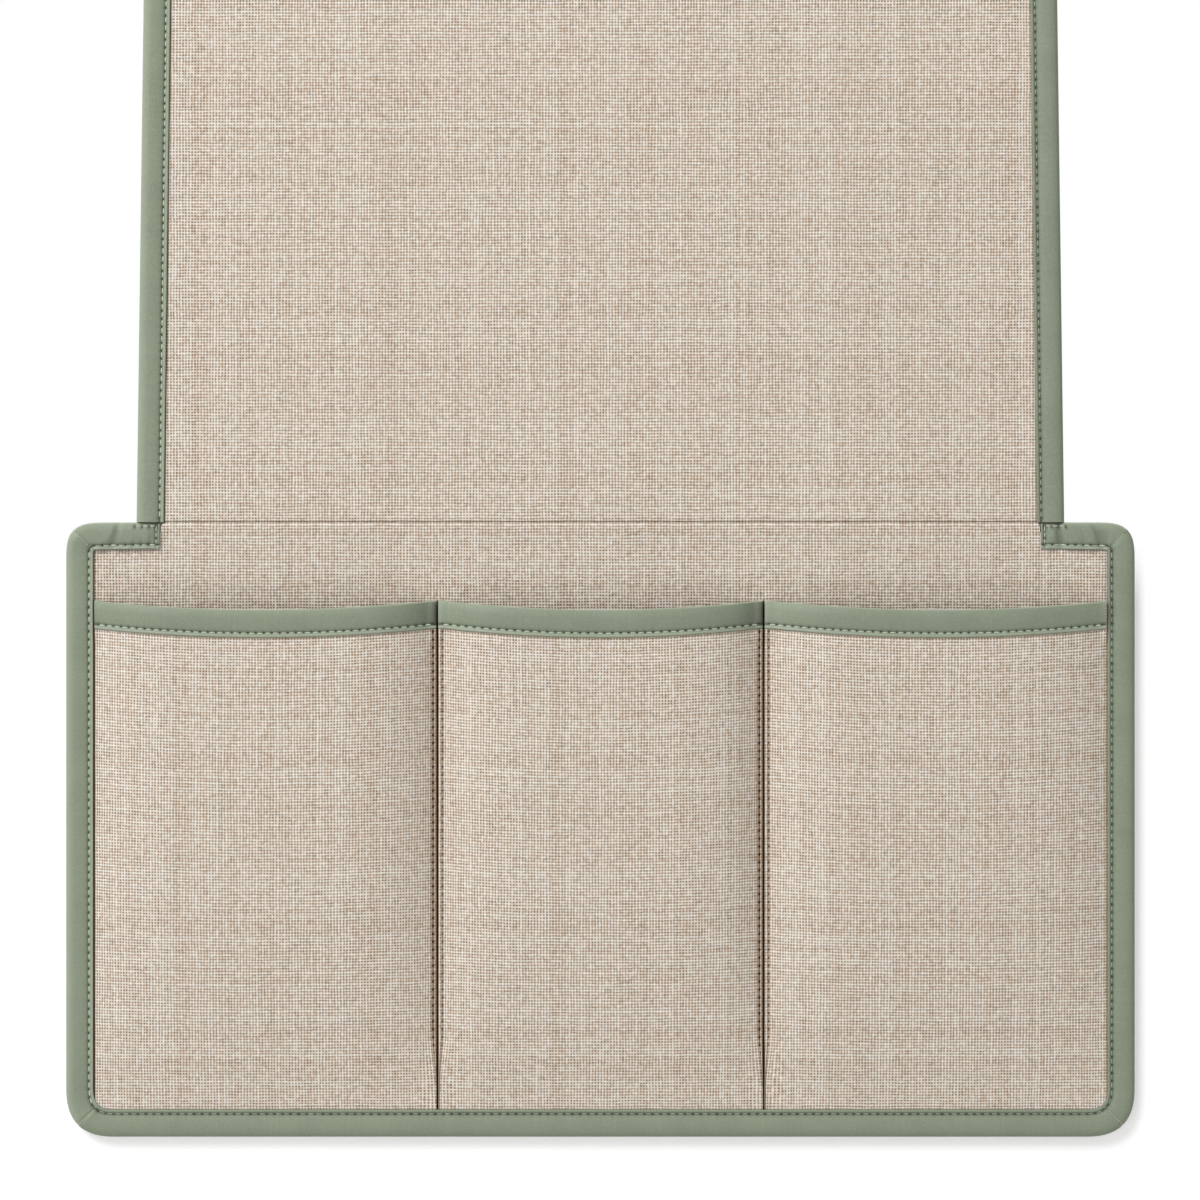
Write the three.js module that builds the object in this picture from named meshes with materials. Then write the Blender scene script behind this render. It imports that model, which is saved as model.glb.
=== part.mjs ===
import * as THREE from 'three';
import { mergeVertices } from 'three/addons/utils/BufferGeometryUtils.js';

// Bedside caddy. A bound flap is tucked under the mattress, and a bound panel with three
// patch pockets hangs from it beside the bed. Sizes are in millimetres, +X is to the right,
// +Z is up and the pockets face -Y. The origin is on the back of the flap, at half its height.

// Flap. The taper is how much it narrows on each side towards its far end.
const flapBaseWidth = 382;
const flapTaper = 4;
const flapLength = 300;
const flapFarRadius = 19.8;

// Pocket panel. A shoulder is how far it stands out on each side of the flap.
const panelHeight = 253;
const shoulderWidth = 29;
const panelFootRadius = 19.8;
const panelShoulderRadius = 8;

// Layers of cloth and of the stiffener between them. The cloth is pinched thinner under the
// binding and along the seam at the fold.
const clothThickness = 0.8;
const stiffenerThickness = 1.6;
const clothPinch = 0.2;
const foldSeamWidth = 2.5;

// Binding tape folded over every outer edge
const bindingWidth = 11.4;
const tapeThickness = 0.8;
const tapeRoll = 3;
const tapeLip = 1.8;
const tapeDome = 0.35;
const sharpestInnerRadius = 1.5;
const shoulderLap = 9.8;

// Pockets
const pocketBulge = 10;
const rimDrop = 31.9;
const rimSag = 3.6;
const rimTapeHeight = 11.5;
const middlePocketWidth = 134.2;
const hemWidth = 2.4;
const rimEase = 8;
const flangeEase = 3;

// Clearances
const foldGap = 0.3;
const edgeClearance = 0.3;
const mitreGap = 0.3;
const pocketGap = 0.4;

// Crown of a pocket: how full it stays towards its sides and towards its foot
const sideFullness = 3;
const footFullness = 2;

// Steps along curves
const cornerSteps = 4;
const rollSteps = 6;
const pocketColumns = 20;
const pocketRows = 12;
const flangeRows = 2;

// Points of an outline closer than this are one point
const samePlace = 0.000001;

// A corner is mitred halfway round
const mitreTurn = Math.PI / 4;

// Widths worked out from the flap's
const panelWidth = flapBaseWidth + shoulderWidth + shoulderWidth;
const flapFarWidth = flapBaseWidth - flapTaper - flapTaper;

// Levels worked out from the layers, counted forwards from the back of the cloth
const boardFront = clothThickness + stiffenerThickness;
const stackThickness = boardFront + clothThickness;
const pocketClothFront = stackThickness + clothThickness;

// The layers end just inside the tape's roll
const edgeInset = tapeRoll + edgeClearance;

// A line that runs inside an outer corner turns concentric with it where there is room for it
const turned = (outerRadius, inset) => Math.max(outerRadius - inset, sharpestInnerRadius);

const clothMaterial = new THREE.MeshStandardMaterial({ color: 0xcdbeab, roughness: 0.92, metalness: 0 });
const tapeMaterial = new THREE.MeshStandardMaterial({ color: 0x93a18a, roughness: 0.62, metalness: 0 });
const stiffenerMaterial = new THREE.MeshStandardMaterial({ color: 0xe4e0d8, roughness: 0.8, metalness: 0 });

// A geometry of points, and of faces as a flat list of their corners' places among the points.
function indexed(points, faces) {
  const coordinates = points.flatMap((point) => point.toArray());
  const geometry = new THREE.BufferGeometry();
  geometry.setAttribute('position', new THREE.Float32BufferAttribute(coordinates, 3));
  geometry.setIndex(faces);
  return geometry;
}

// Turns every face outwards: the signed volume of a closed mesh is positive when it is right.
function facingOut(geometry) {
  const index = geometry.index;
  const position = geometry.attributes.position;
  const corners = [new THREE.Vector3(), new THREE.Vector3(), new THREE.Vector3()];
  let volume = 0;
  for (let face = 0; face < index.count; face += corners.length) {
    corners.forEach((corner, turn) => corner.fromBufferAttribute(position, index.getX(face + turn)));
    volume += corners[0].dot(corners[1].clone().cross(corners[2]));
  }
  if (volume < 0) {
    for (let face = 0; face < index.count; face += corners.length) {
      const first = index.getX(face);
      index.setX(face, index.getX(face + 1));
      index.setX(face + 1, first);
    }
  }
  geometry.computeVertexNormals();
  return geometry;
}

// A closed solid between two grids of points of the same size: its outer and its inner skin.
function solidBetween(outerGrid, innerGrid) {
  const rows = outerGrid.length;
  const columns = outerGrid[0].length;
  const points = [...outerGrid.flat(), ...innerGrid.flat()];
  const outer = (row, column) => row * columns + column;
  const inner = (row, column) => rows * columns + outer(row, column);
  const faces = [];
  const quad = (a, b, c, d) => faces.push(a, b, c, a, c, d);
  for (let row = 0; row + 1 < rows; row += 1) {
    for (let column = 0; column + 1 < columns; column += 1) {
      quad(outer(row, column), outer(row, column + 1), outer(row + 1, column + 1), outer(row + 1, column));
      quad(inner(row, column), inner(row + 1, column), inner(row + 1, column + 1), inner(row, column + 1));
    }
    quad(outer(row, 0), outer(row + 1, 0), inner(row + 1, 0), inner(row, 0));
    const last = columns - 1;
    quad(outer(row + 1, last), outer(row, last), inner(row, last), inner(row + 1, last));
  }
  for (let column = 0; column + 1 < columns; column += 1) {
    const end = rows - 1;
    quad(outer(0, column + 1), outer(0, column), inner(0, column), inner(0, column + 1));
    quad(outer(end, column), outer(end, column + 1), inner(end, column + 1), inner(end, column));
  }
  return facingOut(mergeVertices(indexed(points, faces)));
}

function named(name, geometry, material) {
  const mesh = new THREE.Mesh(geometry, material);
  mesh.name = name;
  return mesh;
}

// The flap narrows towards its far end. Every piece of it is drawn straight and narrowed alike.
function narrowed(geometry) {
  const position = geometry.attributes.position;
  for (let point = 0; point < position.count; point += 1) {
    const along = position.getZ(point) / flapLength;
    const share = 1 - along * (1 - flapFarWidth / flapBaseWidth);
    position.setX(point, position.getX(point) * share);
  }
  geometry.computeVertexNormals();
  return geometry;
}

// One flat layer: an outline in X and Z, extruded forwards from a level behind it.
function layer(outline, thickness, backLevel) {
  const geometry = new THREE.ExtrudeGeometry(outline, {
    depth: thickness,
    bevelEnabled: false,
    curveSegments: cornerSteps,
  });
  geometry.rotateX(Math.PI / 2);
  geometry.translate(0, -backLevel, 0);
  return geometry;
}

// An outline inside the panel's edge. Between the shoulder bindings it reaches up to the seam.
function panelOutline(inset, seam) {
  const side = panelWidth / 2 - inset;
  const foot = -panelHeight + inset;
  const shoulder = -inset;
  const tab = flapBaseWidth / 2 - shoulderLap - edgeClearance - seam;
  const footRadius = turned(panelFootRadius, inset);
  const shoulderRadius = turned(panelShoulderRadius, inset);
  const outline = new THREE.Shape();
  outline.moveTo(-tab, -seam);
  outline.lineTo(-tab, shoulder);
  outline.lineTo(-side + shoulderRadius, shoulder);
  const shoulderCentre = shoulder - shoulderRadius;
  outline.absarc(-side + shoulderRadius, shoulderCentre, shoulderRadius, Math.PI / 2, Math.PI, false);
  outline.lineTo(-side, foot + footRadius);
  outline.absarc(-side + footRadius, foot + footRadius, footRadius, Math.PI, 1.5 * Math.PI, false);
  outline.lineTo(side - footRadius, foot);
  outline.absarc(side - footRadius, foot + footRadius, footRadius, -Math.PI / 2, 0, false);
  outline.lineTo(side, shoulder - shoulderRadius);
  outline.absarc(side - shoulderRadius, shoulderCentre, shoulderRadius, 0, Math.PI / 2, false);
  outline.lineTo(tab, shoulder);
  outline.lineTo(tab, -seam);
  outline.closePath();
  return outline;
}

// An outline inside the flap's edge, drawn straight. It starts at the seam and ends round.
function flapOutline(inset, seam) {
  const side = flapBaseWidth / 2 - inset;
  const far = flapLength - inset;
  const radius = turned(flapFarRadius, inset);
  const outline = new THREE.Shape();
  outline.moveTo(-side, seam);
  outline.lineTo(side, seam);
  outline.lineTo(side, far - radius);
  outline.absarc(side - radius, far - radius, radius, 0, Math.PI / 2, false);
  outline.lineTo(-side + radius, far);
  outline.absarc(-side + radius, far - radius, radius, Math.PI / 2, Math.PI, false);
  outline.closePath();
  return outline;
}

// The corners of a closed outline, each once.
function loopPoints(outline) {
  const points = outline.getPoints(cornerSteps);
  return points.filter((point, step) => point.distanceTo(points[(step + 1) % points.length]) > samePlace);
}

// A cloth with a raised face, which ends where the binding and the fold's seam pinch the edge.
// It lies between an inner level and the level of its face, in front of it or behind it.
function pinchedCloth(edgeOutline, faceOutline, innerLevel, faceLevel) {
  const pinchedLevel = faceLevel + Math.sign(innerLevel - faceLevel) * clothPinch;
  const edge = loopPoints(edgeOutline);
  const face = loopPoints(faceOutline);
  const loops = [[edge, innerLevel], [edge, pinchedLevel], [face, pinchedLevel], [face, faceLevel]];
  const raise = (loop, level) => loop.map((point) => new THREE.Vector3(point.x, -level, point.y));
  const points = loops.flatMap(([loop, level]) => raise(loop, level));
  const [innerStart, edgeStart, stepStart] = [0, edge.length, edge.length + edge.length];
  const faceStart = stepStart + face.length;
  const faces = [];
  const cap = (start, loop, holes) => {
    for (const triangle of THREE.ShapeUtils.triangulateShape(loop, holes)) {
      faces.push(...triangle.map((corner) => start + corner));
    }
  };
  const wall = (start, end, count) => {
    for (let step = 0; step < count; step += 1) {
      const next = (step + 1) % count;
      faces.push(start + step, start + next, end + next, start + step, end + next, end + step);
    }
  };
  cap(innerStart, edge, []);
  faces.reverse();
  cap(edgeStart, edge, [face]);
  cap(faceStart, face, []);
  wall(innerStart, edgeStart, edge.length);
  wall(stepStart, faceStart, face.length);
  return facingOut(indexed(points, faces));
}

// Back cloth, stiffener and front cloth, face to face.
function layers(prefix, outlineInside, finish) {
  const edge = outlineInside(edgeInset, 0);
  const face = outlineInside(bindingWidth + edgeClearance, foldSeamWidth);
  const backCloth = pinchedCloth(edge, face, clothThickness, 0);
  const stiffener = layer(edge, stiffenerThickness, clothThickness);
  const frontCloth = pinchedCloth(edge, face, boardFront, stackThickness);
  return [
    named(`${prefix}_back_cloth`, finish(backCloth), clothMaterial),
    named(`${prefix}_stiffener`, finish(stiffener), stiffenerMaterial),
    named(`${prefix}_front_cloth`, finish(frontCloth), clothMaterial),
  ];
}

// A corner of a bound edge. Its stations turn from the side edge to the level one, and each
// joins a point of the outer edge to a point of the tape's inner edge.
function corner(edgeX, edgeZ, outerRadius) {
  const inwardX = -Math.sign(edgeX);
  const inwardZ = -edgeZ.side;
  const innerRadius = turned(outerRadius, bindingWidth);
  const reach = bindingWidth + innerRadius;
  const outerCentre = new THREE.Vector2(edgeX + inwardX * outerRadius, edgeZ.height + inwardZ * outerRadius);
  const innerCentre = new THREE.Vector2(edgeX + inwardX * reach, edgeZ.height + inwardZ * reach);
  return (turn, slide = 0) => {
    const way = new THREE.Vector2(-inwardX * Math.cos(turn), -inwardZ * Math.sin(turn));
    const along = new THREE.Vector2(inwardX * Math.sin(turn), -inwardZ * Math.cos(turn));
    return {
      outer: outerCentre.clone().addScaledVector(way, outerRadius).addScaledVector(along, slide),
      inner: innerCentre.clone().addScaledVector(way, innerRadius).addScaledVector(along, slide),
    };
  };
}

// Shares of a whole, from none to all of it, in even steps.
const shares = (steps) => Array.from({ length: steps + 1 }, (unused, step) => step / steps);

// The half of a corner next to the side edge, or next to the level one, up to the mitre.
function sideHalf(station) {
  const setBack = (share) => (share === 1 ? -mitreGap / 2 : 0);
  return shares(cornerSteps).map((share) => station(share * mitreTurn, setBack(share)));
}

function levelHalf(station) {
  const setBack = (share) => (share === 0 ? mitreGap / 2 : 0);
  return shares(cornerSteps).map((share) => station((1 + share) * mitreTurn, setBack(share)));
}

// The folded tape's section: pairs of a share of the tape's width, counted from the outer
// edge, and a level. It runs from the front arm round the outer edge to the back arm.
function tapeSection(frontLevel, backLevel) {
  const front = frontLevel + tapeThickness;
  const back = backLevel - tapeThickness;
  const middle = (front + back) / 2;
  const half = (front - back) / 2;
  const width = bindingWidth;
  const rounded = tapeThickness / 2;
  const outside = [[width, front - rounded], [width - rounded, front], [width - tapeLip, front]];
  const inside = [[width, frontLevel], [width - rounded, frontLevel], [width - tapeLip, frontLevel]];
  outside.push([width / 2, front + tapeDome]);
  inside.push([width / 2, frontLevel]);
  for (const share of shares(rollSteps)) {
    const turn = share * Math.PI;
    outside.push([tapeRoll * (1 - Math.sin(turn)), middle + half * Math.cos(turn)]);
    const reach = tapeRoll - tapeThickness;
    inside.push([tapeRoll - reach * Math.sin(turn), middle + (half - tapeThickness) * Math.cos(turn)]);
  }
  outside.push([width - rounded, back], [width, back + rounded]);
  inside.push([width - rounded, backLevel], [width, backLevel]);
  return { outside, inside };
}

// Sweeps the folded tape along its stations.
function foldedTape(stations, frontLevel) {
  const section = tapeSection(frontLevel, clothPinch);
  const place = (station, [inward, level]) => {
    const share = inward / bindingWidth;
    const point = station.outer.clone().lerp(station.inner, share);
    return new THREE.Vector3(point.x, -level, point.y);
  };
  const outerGrid = stations.map((station) => section.outside.map((point) => place(station, point)));
  const innerGrid = stations.map((station) => section.inside.map((point) => place(station, point)));
  return solidBetween(outerGrid, innerGrid);
}

function panelBindings() {
  const frontLevel = pocketClothFront + edgeClearance;
  const side = panelWidth / 2;
  const top = { height: 0, side: 1 };
  const foot = { height: -panelHeight, side: -1 };
  const lapEnd = flapBaseWidth / 2 - shoulderLap;
  const pieces = [];
  for (const [word, way] of [['left', -1], ['right', 1]]) {
    const shoulderCorner = corner(way * side, top, panelShoulderRadius);
    const footCorner = corner(way * side, foot, panelFootRadius);
    const sideStations = [...sideHalf(shoulderCorner).reverse(), ...sideHalf(footCorner)];
    const shoulderEnd = {
      outer: new THREE.Vector2(way * lapEnd, 0),
      inner: new THREE.Vector2(way * lapEnd, -bindingWidth),
    };
    const shoulderStations = [...levelHalf(shoulderCorner), shoulderEnd];
    pieces.push(named(`panel_binding_${word}`, foldedTape(sideStations, frontLevel), tapeMaterial));
    pieces.push(named(`shoulder_binding_${word}`, foldedTape(shoulderStations, frontLevel), tapeMaterial));
  }
  const footLeft = levelHalf(corner(-side, foot, panelFootRadius));
  const footRight = levelHalf(corner(side, foot, panelFootRadius));
  const footStations = [...footLeft, ...footRight.reverse()];
  pieces.push(named('panel_binding_bottom', foldedTape(footStations, frontLevel), tapeMaterial));
  return pieces;
}

function flapBindings() {
  const frontLevel = stackThickness - clothPinch;
  const side = flapBaseWidth / 2;
  const far = { height: flapLength, side: 1 };
  const pieces = [];
  for (const [word, way] of [['left', -1], ['right', 1]]) {
    const base = {
      outer: new THREE.Vector2(way * side, 0),
      inner: new THREE.Vector2(way * (side - bindingWidth), 0),
    };
    const stations = [base, ...sideHalf(corner(way * side, far, flapFarRadius))];
    pieces.push(named(`flap_binding_${word}`, narrowed(foldedTape(stations, frontLevel)), tapeMaterial));
  }
  const farLeft = levelHalf(corner(-side, far, flapFarRadius));
  const farRight = levelHalf(corner(side, far, flapFarRadius));
  const farTape = foldedTape([...farLeft, ...farRight.reverse()], frontLevel);
  pieces.push(named('flap_binding_end', narrowed(farTape), tapeMaterial));
  return pieces;
}

// A pocket is a patch of cloth. It lies flat on the panel along its hems and under the
// binding, and it is crowned between them. At the rim its ends are lifted by the rim tape.
function pocketPatch(left, right) {
  const middle = (left.crown + right.crown) / 2;
  const half = (right.crown - left.crown) / 2;
  const crownFoot = -panelHeight + bindingWidth + edgeClearance;
  const crownHeight = -rimDrop - crownFoot;
  const rimLift = tapeThickness + edgeClearance + edgeClearance;
  const liftFoot = -rimDrop - rimSag - rimTapeHeight - rimEase;
  const across = (x) => THREE.MathUtils.clamp((x - middle) / half, -1, 1);
  const down = (z) => THREE.MathUtils.clamp((-rimDrop - z) / crownHeight, 0, 1);
  const bulge = (x, z) => {
    const crown = (1 - Math.abs(across(x)) ** sideFullness) * (1 - down(z) ** footFullness);
    const lift = rimLift * THREE.MathUtils.clamp((z - liftFoot) / rimEase, 0, 1);
    return Math.max(pocketBulge * crown, lift);
  };
  const rimHeight = (x) => -rimDrop - rimSag * (1 - across(x) ** 2);
  return { left, right, crownFoot, liftFoot, bulge, rimHeight, across };
}

// The columns of a patch at a height, from edge to edge. They crowd towards the sides of the
// crown, where it is steep, and stay inside the rounded corner of the panel.
function patchColumns(patch, z) {
  const leftEdge = patchEdge(patch.left, patch, z);
  const rightEdge = patchEdge(patch.right, patch, z);
  const start = Math.max(patch.left.crown, leftEdge + edgeClearance / 2);
  const end = Math.min(patch.right.crown, rightEdge - edgeClearance / 2);
  const middle = (start + end) / 2;
  const half = (end - start) / 2;
  const columns = shares(pocketColumns).map((share) => middle - half * Math.cos(share * Math.PI));
  return [leftEdge, ...columns, rightEdge];
}

// The edge of a patch at a height: a hem's edge is straight, an edge under the binding
// starts below the rim tape and follows the rounded corner of the panel.
function patchEdge(edge, patch, z) {
  const way = Math.sign(edge.outer);
  if (!edge.bound) {
    return edge.outer;
  }
  if (z > patch.liftFoot - flangeEase) {
    return edge.crown + (way * edgeClearance) / 2;
  }
  const radius = panelFootRadius - edgeInset;
  const centre = -panelHeight + panelFootRadius;
  const below = Math.max(0, centre - z);
  const trimmed = radius - Math.sqrt(Math.max(0, radius ** 2 - below ** 2));
  return edge.outer - way * trimmed;
}

function pocketCloth(patch) {
  const patchFoot = -panelHeight + edgeInset + edgeClearance;
  const firstHeight = patch.liftFoot - flangeEase - edgeClearance;
  const rows = [
    -rimDrop,
    -rimDrop - rimTapeHeight,
    -rimDrop - rimTapeHeight - rimSag,
    patch.liftFoot,
    patch.liftFoot - flangeEase,
  ];
  rows.push(...shares(pocketRows).map((share) => firstHeight + share * (patch.crownFoot - firstHeight)));
  for (let step = 1; step <= flangeRows; step += 1) {
    rows.push(patch.crownFoot + (step / flangeRows) * (patchFoot - patch.crownFoot));
  }
  const sagHeight = patch.liftFoot - flangeEase;
  const place = (x, row) => {
    const fade = THREE.MathUtils.clamp((row - sagHeight) / (-rimDrop - sagHeight), 0, 1);
    const sag = (patch.rimHeight(x) + rimDrop) * (row > sagHeight ? Math.sqrt(fade) : 0);
    return row + sag;
  };
  const outerGrid = [];
  const innerGrid = [];
  for (const row of rows) {
    const inner = patchColumns(patch, row).map((x) => {
      const z = place(x, row);
      return new THREE.Vector3(x, -stackThickness - patch.bulge(x, z), z);
    });
    innerGrid.push(inner);
    outerGrid.push(inner.map((point) => point.clone().setY(point.y - clothThickness)));
  }
  return solidBetween(outerGrid, innerGrid);
}

// The rim tape is folded over the pocket's rim and follows its crown and its sag.
function rimTape(patch) {
  const outerGrid = [];
  const innerGrid = [];
  for (const x of patchColumns(patch, -rimDrop)) {
    const rim = patch.rimHeight(x);
    const foot = rim - rimTapeHeight;
    const clothBack = stackThickness + patch.bulge(x, rim);
    const clothFront = clothBack + clothThickness;
    const innerFront = clothFront + edgeClearance;
    const innerBack = clothBack - edgeClearance;
    const innerTop = rim + edgeClearance;
    const outerTop = innerTop + tapeThickness;
    const middle = (innerFront + innerBack) / 2;
    const outerSection = [
      [innerFront + tapeThickness / 2, foot],
      [innerFront + tapeThickness, foot + tapeThickness / 2],
      [innerFront + tapeThickness, innerTop],
      [innerFront + tapeThickness / 2, outerTop - tapeThickness / 2],
      [middle, outerTop],
      [innerBack - tapeThickness / 2, outerTop - tapeThickness / 2],
      [innerBack - tapeThickness, innerTop],
      [innerBack - tapeThickness, foot + tapeThickness / 2],
      [innerBack - tapeThickness, foot],
    ];
    const innerSection = [
      [innerFront, foot],
      [innerFront, foot + tapeThickness / 2],
      [innerFront, innerTop - edgeClearance],
      [innerFront, innerTop],
      [middle, innerTop],
      [innerBack, innerTop],
      [innerBack, innerTop - edgeClearance],
      [innerBack, foot + tapeThickness / 2],
      [innerBack, foot],
    ];
    outerGrid.push(outerSection.map(([level, height]) => new THREE.Vector3(x, -level, height)));
    innerGrid.push(innerSection.map(([level, height]) => new THREE.Vector3(x, -level, height)));
  }
  return solidBetween(outerGrid, innerGrid);
}

function pockets() {
  const boundOuter = panelWidth / 2 - edgeInset;
  const boundCrown = panelWidth / 2 - bindingWidth - edgeClearance - edgeClearance;
  const seam = middlePocketWidth / 2;
  const bound = (way) => ({ outer: way * boundOuter, crown: way * boundCrown, bound: true });
  const hem = (centre, way) => {
    const outer = centre + (way * pocketGap) / 2;
    return { outer, crown: outer + way * hemWidth, bound: false };
  };
  const patches = {
    left: pocketPatch(bound(-1), hem(-seam, -1)),
    middle: pocketPatch(hem(-seam, 1), hem(seam, -1)),
    right: pocketPatch(hem(seam, 1), bound(1)),
  };
  return Object.entries(patches).flatMap(([word, patch]) => [
    named(`pocket_${word}`, pocketCloth(patch), clothMaterial),
    named(`rim_tape_${word}`, rimTape(patch), tapeMaterial),
  ]);
}

const flap = new THREE.Group();
flap.add(...layers('flap', flapOutline, narrowed), ...flapBindings());
flap.position.set(0, 0, -flapLength / 2);

const panel = new THREE.Group();
panel.add(...layers('panel', panelOutline, (geometry) => geometry), ...panelBindings(), ...pockets());
panel.position.set(0, 0, -flapLength / 2 - foldGap);

const caddy = new THREE.Group();
caddy.add(flap, panel);

export default caddy;
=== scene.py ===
# %% [markdown]
# # Bedside caddy
# A linen-look flap is tucked under the mattress. A panel with three pockets hangs from it
# beside the bed. Every edge is bound with sage-green leatherette tape, folded over the edge
# and sewn through. This lesson builds the looks of that caddy around its measured frame.
#
# The frame gives the sizes and places. Each soft piece is then modelled as the sheet that it
# is on the real object: cloth as woven sheets, tape as a strip folded round an edge.

# %% Load the frame and keep its box
import math

import bmesh
import bpy
import numpy as np
from mathutils import Matrix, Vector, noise


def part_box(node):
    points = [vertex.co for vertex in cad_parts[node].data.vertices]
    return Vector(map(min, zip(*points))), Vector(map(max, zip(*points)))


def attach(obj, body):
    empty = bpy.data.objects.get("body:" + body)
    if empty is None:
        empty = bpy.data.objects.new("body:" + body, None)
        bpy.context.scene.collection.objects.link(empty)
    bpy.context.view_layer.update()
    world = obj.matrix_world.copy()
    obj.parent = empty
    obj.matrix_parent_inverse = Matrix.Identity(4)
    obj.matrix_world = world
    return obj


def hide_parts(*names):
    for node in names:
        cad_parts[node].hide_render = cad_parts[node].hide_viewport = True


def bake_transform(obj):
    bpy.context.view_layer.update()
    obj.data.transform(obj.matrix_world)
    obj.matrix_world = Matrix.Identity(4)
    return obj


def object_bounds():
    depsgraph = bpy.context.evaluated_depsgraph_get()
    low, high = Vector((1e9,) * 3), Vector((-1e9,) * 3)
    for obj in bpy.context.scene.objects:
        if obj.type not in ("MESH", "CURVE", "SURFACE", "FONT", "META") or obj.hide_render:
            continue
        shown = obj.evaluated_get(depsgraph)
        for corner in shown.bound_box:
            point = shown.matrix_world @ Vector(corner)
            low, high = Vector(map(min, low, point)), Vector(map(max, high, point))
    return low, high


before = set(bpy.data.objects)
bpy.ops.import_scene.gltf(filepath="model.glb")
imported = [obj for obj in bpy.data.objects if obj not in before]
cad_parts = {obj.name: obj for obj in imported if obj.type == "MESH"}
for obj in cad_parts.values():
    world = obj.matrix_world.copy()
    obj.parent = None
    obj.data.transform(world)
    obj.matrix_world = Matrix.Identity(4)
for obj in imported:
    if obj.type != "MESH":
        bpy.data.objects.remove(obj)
cad_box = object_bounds()
print("frame loaded with", len(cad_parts), "nodes")

# %% [markdown]
# ## The camera
# The photograph looks straight at the pockets, from so far that parallel edges stay parallel.
# A long lens at two metres does the same. The width of the view is measured on the cloth of
# the panel, which fills most of the picture.

# %% Camera
mm = 0.001
right_angle = math.pi / 2
photo_pixels = 1200
photo_scale = 0.4116 * mm
fold_in_photo = 522.3
middle_in_photo = 600.4
fold_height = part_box("panel_front_cloth")[1].z
cloth_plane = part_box("panel_front_cloth")[0].y

sensor = 36.0
lens = 150.0
camera_distance = photo_pixels * photo_scale * lens / sensor
camera_height = fold_height - (photo_pixels / 2 - fold_in_photo) * photo_scale
camera_side = (photo_pixels / 2 - middle_in_photo) * photo_scale


def in_mm(length):
    return f"{length / mm:.4g} mm"


def placed(name, data, location=(0, 0, 0)):
    """A new object in the scene."""
    thing = bpy.data.objects.new(name, data)
    thing.location = location
    bpy.context.collection.objects.link(thing)
    return thing


camera_data = bpy.data.cameras.new("photo_camera")
camera_data.lens = lens
camera_data.sensor_width = sensor
camera_data.clip_end = 100.0
camera = placed("photo_camera", camera_data,
                (camera_side, cloth_plane - camera_distance, camera_height))
camera.rotation_euler = (right_angle, 0, 0)
bpy.context.scene.camera = camera
bpy.context.scene.view_settings.view_transform = "Standard"
print("camera", in_mm(camera_distance), "in front of the cloth")

# %% [markdown]
# ## Writing shader maths as expressions
# A material's pattern is arithmetic on coordinates. A small class wraps the output of a node,
# so that a sum or a product in Python adds the Math node that does it. Any other node comes
# from one method, which takes its type, its settings and what its sockets hold.

# %% A value in a shader
class Value:
    """One output of a node. Arithmetic on it adds Math nodes."""

    def __init__(self, shader, socket):
        self.shader = shader
        self.socket = socket

    def math(self, operation, *others):
        return self.shader.maths(operation, self, *others)

    def __add__(self, other):
        return self.math("ADD", other)

    def __sub__(self, other):
        return self.math("SUBTRACT", other)

    def __rsub__(self, other):
        return self.shader.maths("SUBTRACT", other, self)

    def __mul__(self, other):
        return self.math("MULTIPLY", other)

    def __truediv__(self, other):
        return self.math("DIVIDE", other)

    def smooth(self, low, high):
        """0 below low, 1 above high, and a smooth step between them."""
        sockets = {"Value": self, "From Min": low, "From Max": high}
        return self.shader.add("MapRange", {"interpolation_type": "SMOOTHSTEP"}, sockets)

    __radd__ = __add__
    __rmul__ = __mul__


print("value class ready")

# %% [markdown]
# The second class holds the nodes of one material, or of the world. It could be a list of
# node names and links, but then every formula would be written twice. Two of its methods stand
# for what every material here needs: soft noise, and a surface with relief.

# %% A shader
class Shader:
    """The nodes of a material, or of the world."""

    def __init__(self, owner):
        self.owner = owner
        owner.use_nodes = True
        self.tree = owner.node_tree
        self.tree.nodes.clear()

    def plug(self, socket, value):
        if isinstance(value, Value):
            self.tree.links.new(value.socket, socket)
        else:
            socket.default_value = value

    def add(self, kind, settings=None, sockets=None, output=0):
        node = self.tree.nodes.new("ShaderNode" + kind)
        for key, value in (settings or {}).items():
            setattr(node, key, value)
        for key, value in (sockets or {}).items():
            self.plug(node.inputs[key], value)
        return Value(self, node.outputs[output])

    def maths(self, operation, *values):
        return self.add("Math", {"operation": operation}, dict(enumerate(values)))

    def blend_colours(self, share, first, second):
        """first where share is 0, second where it is 1."""
        settings = {"data_type": "RGBA"}
        return self.add("Mix", settings, {0: share, 6: first, 7: second}, output=2)

    def soft_noise(self, place, scale=1.0, detail=2.0, dimensions="3D", roughness=0.5):
        sockets = {"Vector": place, "Scale": scale, "Detail": detail, "Roughness": roughness}
        return self.add("TexNoise", {"noise_dimensions": dimensions}, sockets)

    def surface(self, colour, roughness, height, relief, strength, specular=0.5):
        """The finished material, with a relief that is so high at the height 1."""
        normal = self.add(
            "Bump", sockets={"Strength": strength, "Distance": relief, "Height": height})
        return self.finish(self.add("BsdfPrincipled", sockets={
            "Base Color": colour, "Roughness": roughness, "Normal": normal,
            "Specular IOR Level": specular}))

    def finish(self, surface, output="OutputMaterial"):
        node = self.tree.nodes.new("ShaderNode" + output)
        self.plug(node.inputs["Surface"], surface)
        return self.owner


print("shader methods:", [name for name in vars(Shader) if name[0] != "_"])

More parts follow.
